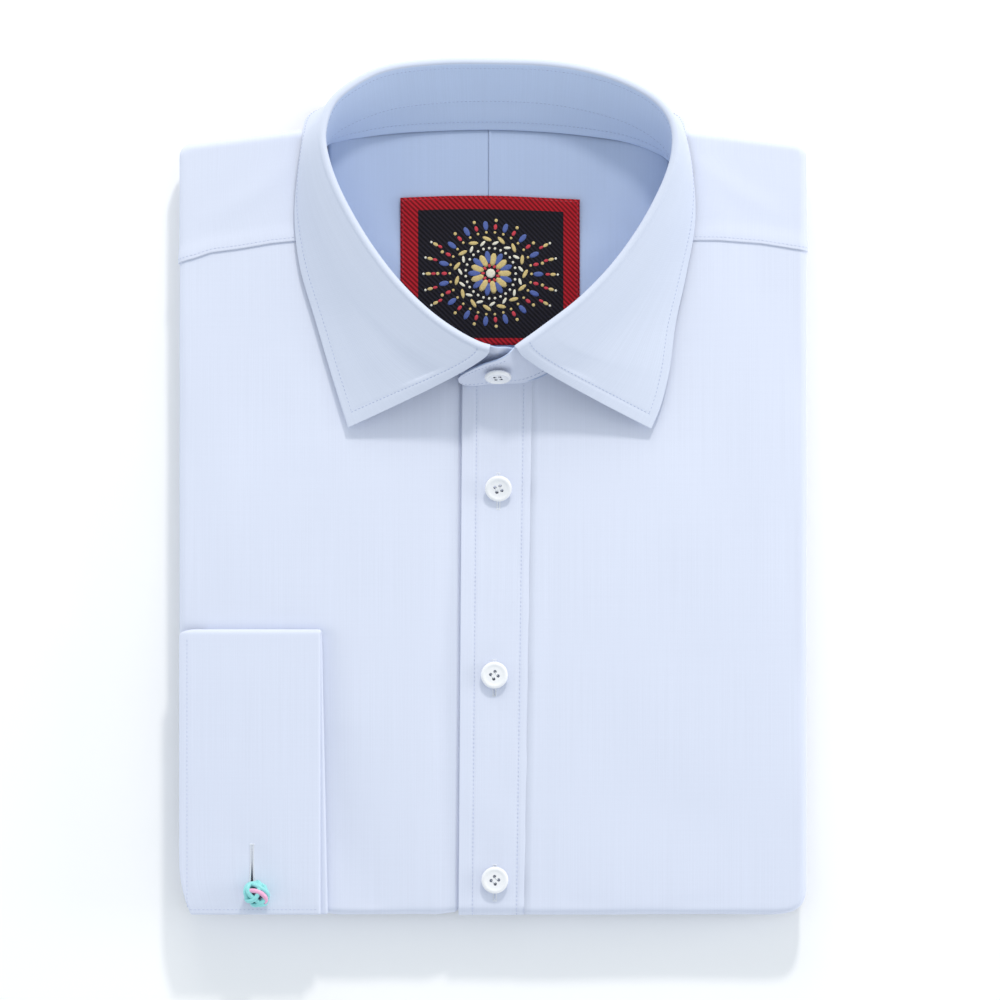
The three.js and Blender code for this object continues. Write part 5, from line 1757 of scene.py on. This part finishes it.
@dataclass
class Buttons:
    """Four-hole resin buttons, sewn on, with a worked buttonhole under each but the collar button."""

    form: BodyForm
    radius: float = 5.7
    hole_radius: float = 0.68
    hole_spacing: float = 1.6
    places: tuple[ButtonPlace, ...] = (
        ButtonPlace("button_1", 17, 20, sink=0.9), ButtonPlace("button_2", 3, 35), ButtonPlace("button_3", 3, 50),
        ButtonPlace("collar_button", 66, 12, hole_length=0.0))
    profile: tuple[tuple[float, float], ...] = (
        (0.0, -1.2), (2.2, -1.2), (4.0, -1.15), (4.9, -0.85), (5.5, -0.35), (5.7, 0.15), (5.6, 0.6), (5.3, 0.95),
        (4.9, 1.14), (4.5, 1.16), (4.15, 1.08), (3.85, 0.94), (3.5, 0.86), (2.4, 0.82), (0.0, 0.8))

    def blank(self) -> bmesh.types.BMesh:
        """Turns the button's section into a round blank.

        Returns:
            The shape, in metres, with its middle at the origin.
        """
        bm = bmesh.new()
        verts = [bm.verts.new(Vector((reach, 0, height)) * MM) for reach, height in self.profile]
        edges = [bm.edges.new(pair) for pair in zip(verts, verts[1:])]
        bmesh.ops.spin(bm, geom=verts + edges, cent=(0, 0, 0), axis=(0, 0, 1), angle=2 * math.pi, steps=56,
                       use_merge=True)
        bmesh.ops.remove_doubles(bm, verts=bm.verts[:], dist=1e-6)
        bmesh.ops.recalc_face_normals(bm, faces=bm.faces[:])
        return bm

    def drilled(self, resin: bpy.types.Material, hole_shade_resin: bpy.types.Material) -> bpy.types.Mesh:
        """Drills the four holes.

        Args:
            resin: The button's finish.
            hole_shade_resin: The dark finish inside the holes, painted shade for their depth.

        Returns:
            The mesh of one button.
        """
        blank = to_object(self.blank(), "button_blank", resin)
        bm = bmesh.new()
        for quarter in range(4):
            angle = (quarter + 0.5) * math.pi / 2
            spot = Vector((math.cos(angle), math.sin(angle), 0)) * self.hole_spacing * MM
            bmesh.ops.create_cone(bm, cap_ends=True, segments=20, radius1=self.hole_radius * MM,
                                  radius2=self.hole_radius * MM, depth=5 * MM, matrix=Matrix.Translation(spot))
        drill = to_object(bm, "button_drill", hole_shade_resin)
        holes = blank.modifiers.new("holes", "BOOLEAN")
        holes.object = drill
        holes.operation = "DIFFERENCE"
        holes.solver = "EXACT"
        holes.material_mode = "TRANSFER"
        mesh = bpy.data.meshes.new_from_object(blank.evaluated_get(bpy.context.evaluated_depsgraph_get()))
        bpy.data.objects.remove(blank)
        bpy.data.objects.remove(drill)
        return mesh

    def thread(self, place: Matrix, name: str, cotton: bpy.types.Material) -> None:
        """Sews a button on through its holes.

        Args:
            place: The button's place, in millimetres.
            name: The piece's name.
            cotton: The thread.
        """
        paths = []
        hole = self.hole_spacing / math.sqrt(2)
        for side in (-1, 1):
            points = []
            for share in evenly(10, -1.0, 1.0):
                rise = 0.35 + 0.6 * math.sqrt(max(1 - share**6, 0.0))
                points.append(place @ Vector((side * (hole - 0.2), share * hole * 0.86, rise)))
            paths.append(points)
        paths.append([place @ Vector((0.3 * math.cos(turn), 0.3 * math.sin(turn), -1.2 - turn * 0.05))
                      for turn in evenly(40, 0.0, 16.0)])
        report(tubes(name, paths, 0.13, cotton, sides=2), Slot.POPLIN)

    def buttonhole(self, bm: bmesh.types.BMesh, slit_shades: bmesh.types.BMesh, sewing: Sewing, x: float, top: float,
                   bottom: float) -> None:
        """Works one upright buttonhole on the placket.

        Args:
            bm: The shape of the stitches.
            slit_shades: The shape of the painted shade in the slits: dark ellipsoids where the open slit shows only
                shade.
            sewing: The stitches' maker.
            x: The slit's place across.
            top: Where it starts.
            bottom: Where it ends.
        """
        form = self.form
        face = lambda across, along: form.cover_point(across, along, form.cover_out + 1.2, Press.RIGHT)
        for side in (-1, 1):
            trace = [standing_on(face, x + side * 0.55, y, (0.3, 0.3)) for y in evenly(30, bottom, top)]
            sewing.beads(bm, trace, 0.34, (0.85, 0.3, 0.34), crosswise=True)
        for end in (top + 0.3, bottom - 0.3):
            trace = [standing_on(face, across, end, (0.3, 0.3)) for across in evenly(6, x - 0.95, x + 0.95)]
            sewing.beads(bm, trace, 0.36, (0.8, 0.3, 0.36), crosswise=True)
        # Painted shade: a flat dark ellipsoid along the slit stands for the shade in its opening.
        middle = face(x, (top + bottom) / 2)
        scale = Matrix.Diagonal((0.16, (top - bottom) / 2, 0.12, 1.0))
        bmesh.ops.create_uvsphere(slit_shades, u_segments=12, v_segments=8, radius=1.0,
                                  matrix=Matrix.Translation(middle * MM) @ Matrix.Scale(MM, 4) @ scale)

    def build(self, resin: bpy.types.Material, hole_shade_resin: bpy.types.Material, cotton: bpy.types.Material,
              thread: bpy.types.Material) -> None:
        """Places, sews and works every button and buttonhole."""
        drilled = self.drilled(resin, hole_shade_resin)
        sewing = Sewing(cotton)
        stitches, slit_shades = bmesh.new(), bmesh.new()
        for spot in self.places:
            low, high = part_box(spot.name)
            centre = (Vector(low) + Vector(high)) / 2 / MM - Vector((0, 0, spot.sink))
            turn = Matrix.Rotation(math.radians(spot.tilt), 4, "X") @ Matrix.Rotation(math.radians(spot.turn), 4, "Z")
            place = Matrix.Translation(centre) @ turn
            bm = bmesh.new()
            bm.from_mesh(drilled)
            bmesh.ops.transform(bm, matrix=Matrix.Translation(centre * MM) @ turn, verts=bm.verts[:])
            button = to_object(bm, f"{spot.name}_resin", resin)
            button.data.materials.append(hole_shade_resin)
            edge = button.modifiers.new("edges", "BEVEL")
            edge.width = 0.08 * MM
            edge.segments = 2
            edge.limit_method = "ANGLE"
            report(button, Slot.RESIN, spot.name)
            self.thread(place, f"{spot.name}_thread", cotton)
            if spot.hole_length:
                middle = centre.y + spot.hole_shift
                self.buttonhole(stitches, slit_shades, sewing, centre.x, middle + spot.hole_length / 2,
                                middle - spot.hole_length / 2)
        report(to_object(stitches, "buttonhole_stitches", cotton), Slot.POPLIN)
        # Painted shade: the slit ellipsoids take the darkened sewing thread's colour.
        report(to_object(slit_shades, "buttonhole_slit_shades", thread), Slot.POPLIN)


@dataclass
class SilkKnot:
    """The cuff link: a ball of crossed silk cords on a loop, in two colours."""

    cuff: Cuff
    radius: float = 4.25
    cord: float = 1.0
    spacing: float = 1.3
    weave: float = 0.13
    stretch: float = 0.16

    def loop(self, centre: Vector, axes: tuple[Vector, Vector, Vector], offset: float) -> list[Vector]:
        """Gives one cord of a bundle, over one of the others and under the next.

        Args:
            centre: The ball's middle.
            axes: The loop's axis, and two directions square to it.
            offset: How far from the middle it runs.

        Returns:
            The cord's points.
        """
        axis, first, second = axes
        reach = math.sqrt(self.radius**2 - offset**2 * 0.8)
        pull = Vector((0.72, -0.69, 0.0))
        points = []
        for angle in evenly(60, 0.0, 2 * math.pi)[:-1]:
            out = reach * (1 + self.weave * math.cos(2 * angle) + 0.05 * math.sin(3 * angle + 2.3 * offset))
            sway = axis * (offset + 0.45 * math.sin(angle * 2 + 4.1 * offset))
            point = sway + (first * math.cos(angle) + second * math.sin(angle)) * out
            points.append(centre + point + pull * point.dot(pull) * self.stretch)
        return points

    def build(self, silk: bpy.types.Material, pink: bpy.types.Material, shade: bpy.types.Material,
              sewing: Sewing) -> None:
        """Winds the knot and works the cuff's buttonhole round it."""
        low, high = (Vector(corner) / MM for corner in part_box("silk_knot"))
        centre = Vector(((low.x + high.x) / 2, (low.y + high.y) / 2, high.z - 5.6))
        tilt = Matrix.Rotation(math.radians(52), 3, "Z") @ Matrix.Rotation(math.radians(24), 3, "X") @ Matrix.Rotation(
            math.radians(31), 3, "Y")
        axes = [tilt @ Vector(axis) for axis in ((1, 0, 0), (0, 1, 0), (0, 0, 1))]
        blue_paths, pink_paths = [], []
        for index in range(3):
            trio = (axes[index], axes[(index + 2) % 3], axes[(index + 1) % 3])
            for strand in (-1, 1):
                path = self.loop(centre, trio, strand * self.spacing * (1.0, 1.15, 0.9)[index])
                (pink_paths if (index, strand) == (0, -1) else blue_paths).append(path)
        report(tubes("silk_knot_cords", blue_paths, self.cord, silk, closed=True, sides=3), Slot.SILK, "silk_knot")
        report(tubes("silk_knot_accent", pink_paths, self.cord, pink, closed=True, sides=3), Slot.SILK)
        # Painted shade: a dark sphere inside the cords stands for the shade in the gaps between them.
        bm = bmesh.new()
        bmesh.ops.create_icosphere(bm, subdivisions=3, radius=(self.radius - 1.5) * MM,
                                   matrix=Matrix.Translation(centre * MM))
        report(to_object(bm, "silk_knot_shade_heart", shade), Slot.SILK)
        stem = [centre + Vector((-1.2, 2.6, -2.5)), centre + Vector((-2.0, 3.2, -5.0)), centre + Vector((-2.2, 3.4, -8.6))]
        report(tubes("silk_knot_stem", [stem], 0.6, silk), Slot.SILK)
        self.buttonhole(sewing)

    def buttonhole(self, sewing: Sewing) -> None:
        """Works the edges of the cuff's buttonhole."""
        bm = bmesh.new()
        top, bottom = self.cuff.slit_ends
        for side in (-1, 1):
            places = []
            for share in evenly(30):
                across = side * (self.cuff.slit_half(share) + 0.42)
                places.append((self.cuff.slit_x + across, lerp(top + 0.5, bottom, share)))
            sewing.beads(bm, self.cuff.top_trace(places), 0.4, (1.1, 0.28, 0.5), crosswise=True)
        places = [(self.cuff.slit_x + across, top + 0.8) for across in evenly(6, -0.9, 0.9)]
        sewing.beads(bm, self.cuff.top_trace(places), 0.4, (1.1, 0.28, 0.5), crosswise=True)
        report(to_object(bm, "cuff_buttonhole_stitches", sewing.thread), Slot.POPLIN)


@dataclass
class Studio:
    """The plain floor, the soft lights and the camera straight above."""

    centre: tuple[float, float] = (2.96, -5.3)
    span: float = 422.2
    height: float = 3000.0
    look_z: float = 20.0
    sensor: float = 36.0

    def camera(self) -> None:
        """Sets the long lens that sees the picture's frame."""
        data = bpy.data.cameras.new("camera")
        data.sensor_width = self.sensor
        data.lens = self.sensor * self.height / self.span
        data.clip_end = 20.0
        camera = bpy.data.objects.new("camera", data)
        camera.location = Vector((self.centre[0], self.centre[1], self.look_z + self.height)) * MM
        bpy.context.scene.collection.objects.link(camera)
        bpy.context.scene.camera = camera

    def light(self, name: str, place: Sequence[float], size: float, power: float, colour: Sequence[float]) -> None:
        """Hangs one soft light that faces the shirt.

        Args:
            name: The light's name.
            place: Where it hangs, in metres.
            size: Its width.
            power: Its power in watts.
            colour: Its colour.
        """
        data = bpy.data.lights.new(name, "AREA")
        data.shape = "DISK"
        data.size = size
        data.energy = power
        data.color = colour
        lamp = bpy.data.objects.new(name, data)
        lamp.location = place
        lamp.visible_camera = False
        lamp.rotation_euler = (Vector((0, 0, 0.02)) - Vector(place)).to_track_quat("-Z", "Y").to_euler()
        bpy.context.scene.collection.objects.link(lamp)

    def floor(self) -> None:
        """Lays the pale floor."""
        bm = bmesh.new()
        bmesh.ops.create_grid(bm, x_segments=8, y_segments=8, size=3.0)
        floor = to_object(bm, "floor", Paper("floor_paper", (0.985, 0.985, 0.985)).material())

    def build(self) -> None:
        """Sets up the studio."""
        self.camera()
        self.floor()
        self.light("key", (0.34, 1.936, 1.377), 0.22, 23.0, (1.0, 0.96, 0.895))
        self.light("low_back", (-0.2, 1.3, 0.75), 0.8, 4.8, (1.0, 0.965, 0.91))
        self.light("low_left", (2.225, 0.1, 0.60), 1.2, 15.0, (1.0, 0.985, 0.97))
        self.light("low_right", (-2.225, 0.1, 0.50), 1.2, 6.0, (0.98, 0.985, 1.0))
        self.light("low_front", (0.1, -2.225, 0.35), 1.2, 6.0, (0.97, 0.98, 1.0))
        world = bpy.data.worlds.new("studio")
        world.use_nodes = True
        sky = world.node_tree.nodes["Background"]
        sky.inputs["Color"].default_value = (0.87, 0.937, 1.0, 1.0)
        sky.inputs["Strength"].default_value = 0.76
        bpy.context.scene.world = world
        bpy.context.scene.view_settings.view_transform = "Standard"
        bpy.context.scene.view_settings.look = "None"


def main() -> None:
    """Builds the shirt from its hidden layers up, then the studio."""
    Studio().build()
    form, collar_form = BodyForm(), CollarForm()
    cloth = Poplin("poplin", (0.682, 0.722, 0.846)).material()
    # Painted shade: the collar leaf's cloth is darker and greyer than the body's, for the shade on the leaf.
    leaf_shaded_cloth = Poplin("poplin_leaf_painted_shade", (0.628, 0.676, 0.795)).material()
    # Painted shade: the stand's inner face takes this darker cloth for the shade inside the collar.
    inside = Poplin("poplin_inside_painted_shade", (0.54, 0.64, 0.84)).material()
    # Painted shade: a darker, bluer cloth for the inner yoke and the neckline fall, for the shade inside the neck.
    shaded_neck_cloth = Poplin("poplin_in_neck_painted_shade", (0.43, 0.515, 0.70)).material()
    # Painted shade: the sewing thread is darker than the cloth it matches, for the small shadows along the stitches.
    thread = Yarn("sewing_thread_painted_shade", (0.52, 0.57, 0.73)).material()
    cotton = Yarn("button_thread", (0.82, 0.85, 0.92)).material()
    # Painted shade for the gaps inside the silk knot.
    shade = Yarn("knot_gap_shade", (0.22, 0.26, 0.38)).material()
    resin = Resin("button_resin", (0.90, 0.905, 0.92)).material()
    # Painted shade: dark resin on the walls inside the button holes, for the shade in them.
    hole_shade_resin = Resin("button_hole_painted_shade", (0.20, 0.21, 0.26)).material()
    silk = Yarn("silk_turquoise", (0.27, 0.70, 0.70), roughness=0.45).material()
    pink = Yarn("silk_pink", (0.86, 0.42, 0.62), roughness=0.45).material()
    sewing = Sewing(thread)
    Layers(form, collar_form).build(cloth, shaded_neck_cloth)
    Fronts(form, collar_form).build(cloth)
    Placket(form).build(cloth, sewing)
    Yokes(form, collar_form).build(cloth, shaded_neck_cloth, sewing)
    label = NeckLabel(form)
    weave = WovenLabel("label_weave", (0.47, 0.012, 0.022), (0.017, 0.015, 0.022), label.field_low, label.field_high)
    label.build(weave.material(), sewing)
    collar = Collar(collar_form)
    # Painted shade: a still darker thread for the collar's stitches, so they read as shaded lines.
    collar_sewing = Sewing(Yarn("collar_thread_painted_shade", (0.38, 0.44, 0.62)).material())
    collar.stand(inside, cloth, collar_sewing)
    collar.leaf(leaf_shaded_cloth, collar_sewing)
    cuff = Cuff(form)
    cuff.build(cloth, sewing)
    Buttons(form).build(resin, hole_shade_resin, cotton, thread)
    SilkKnot(cuff).build(silk, pink, shade, Sewing(cotton))


if __name__ == "__main__":
    main()
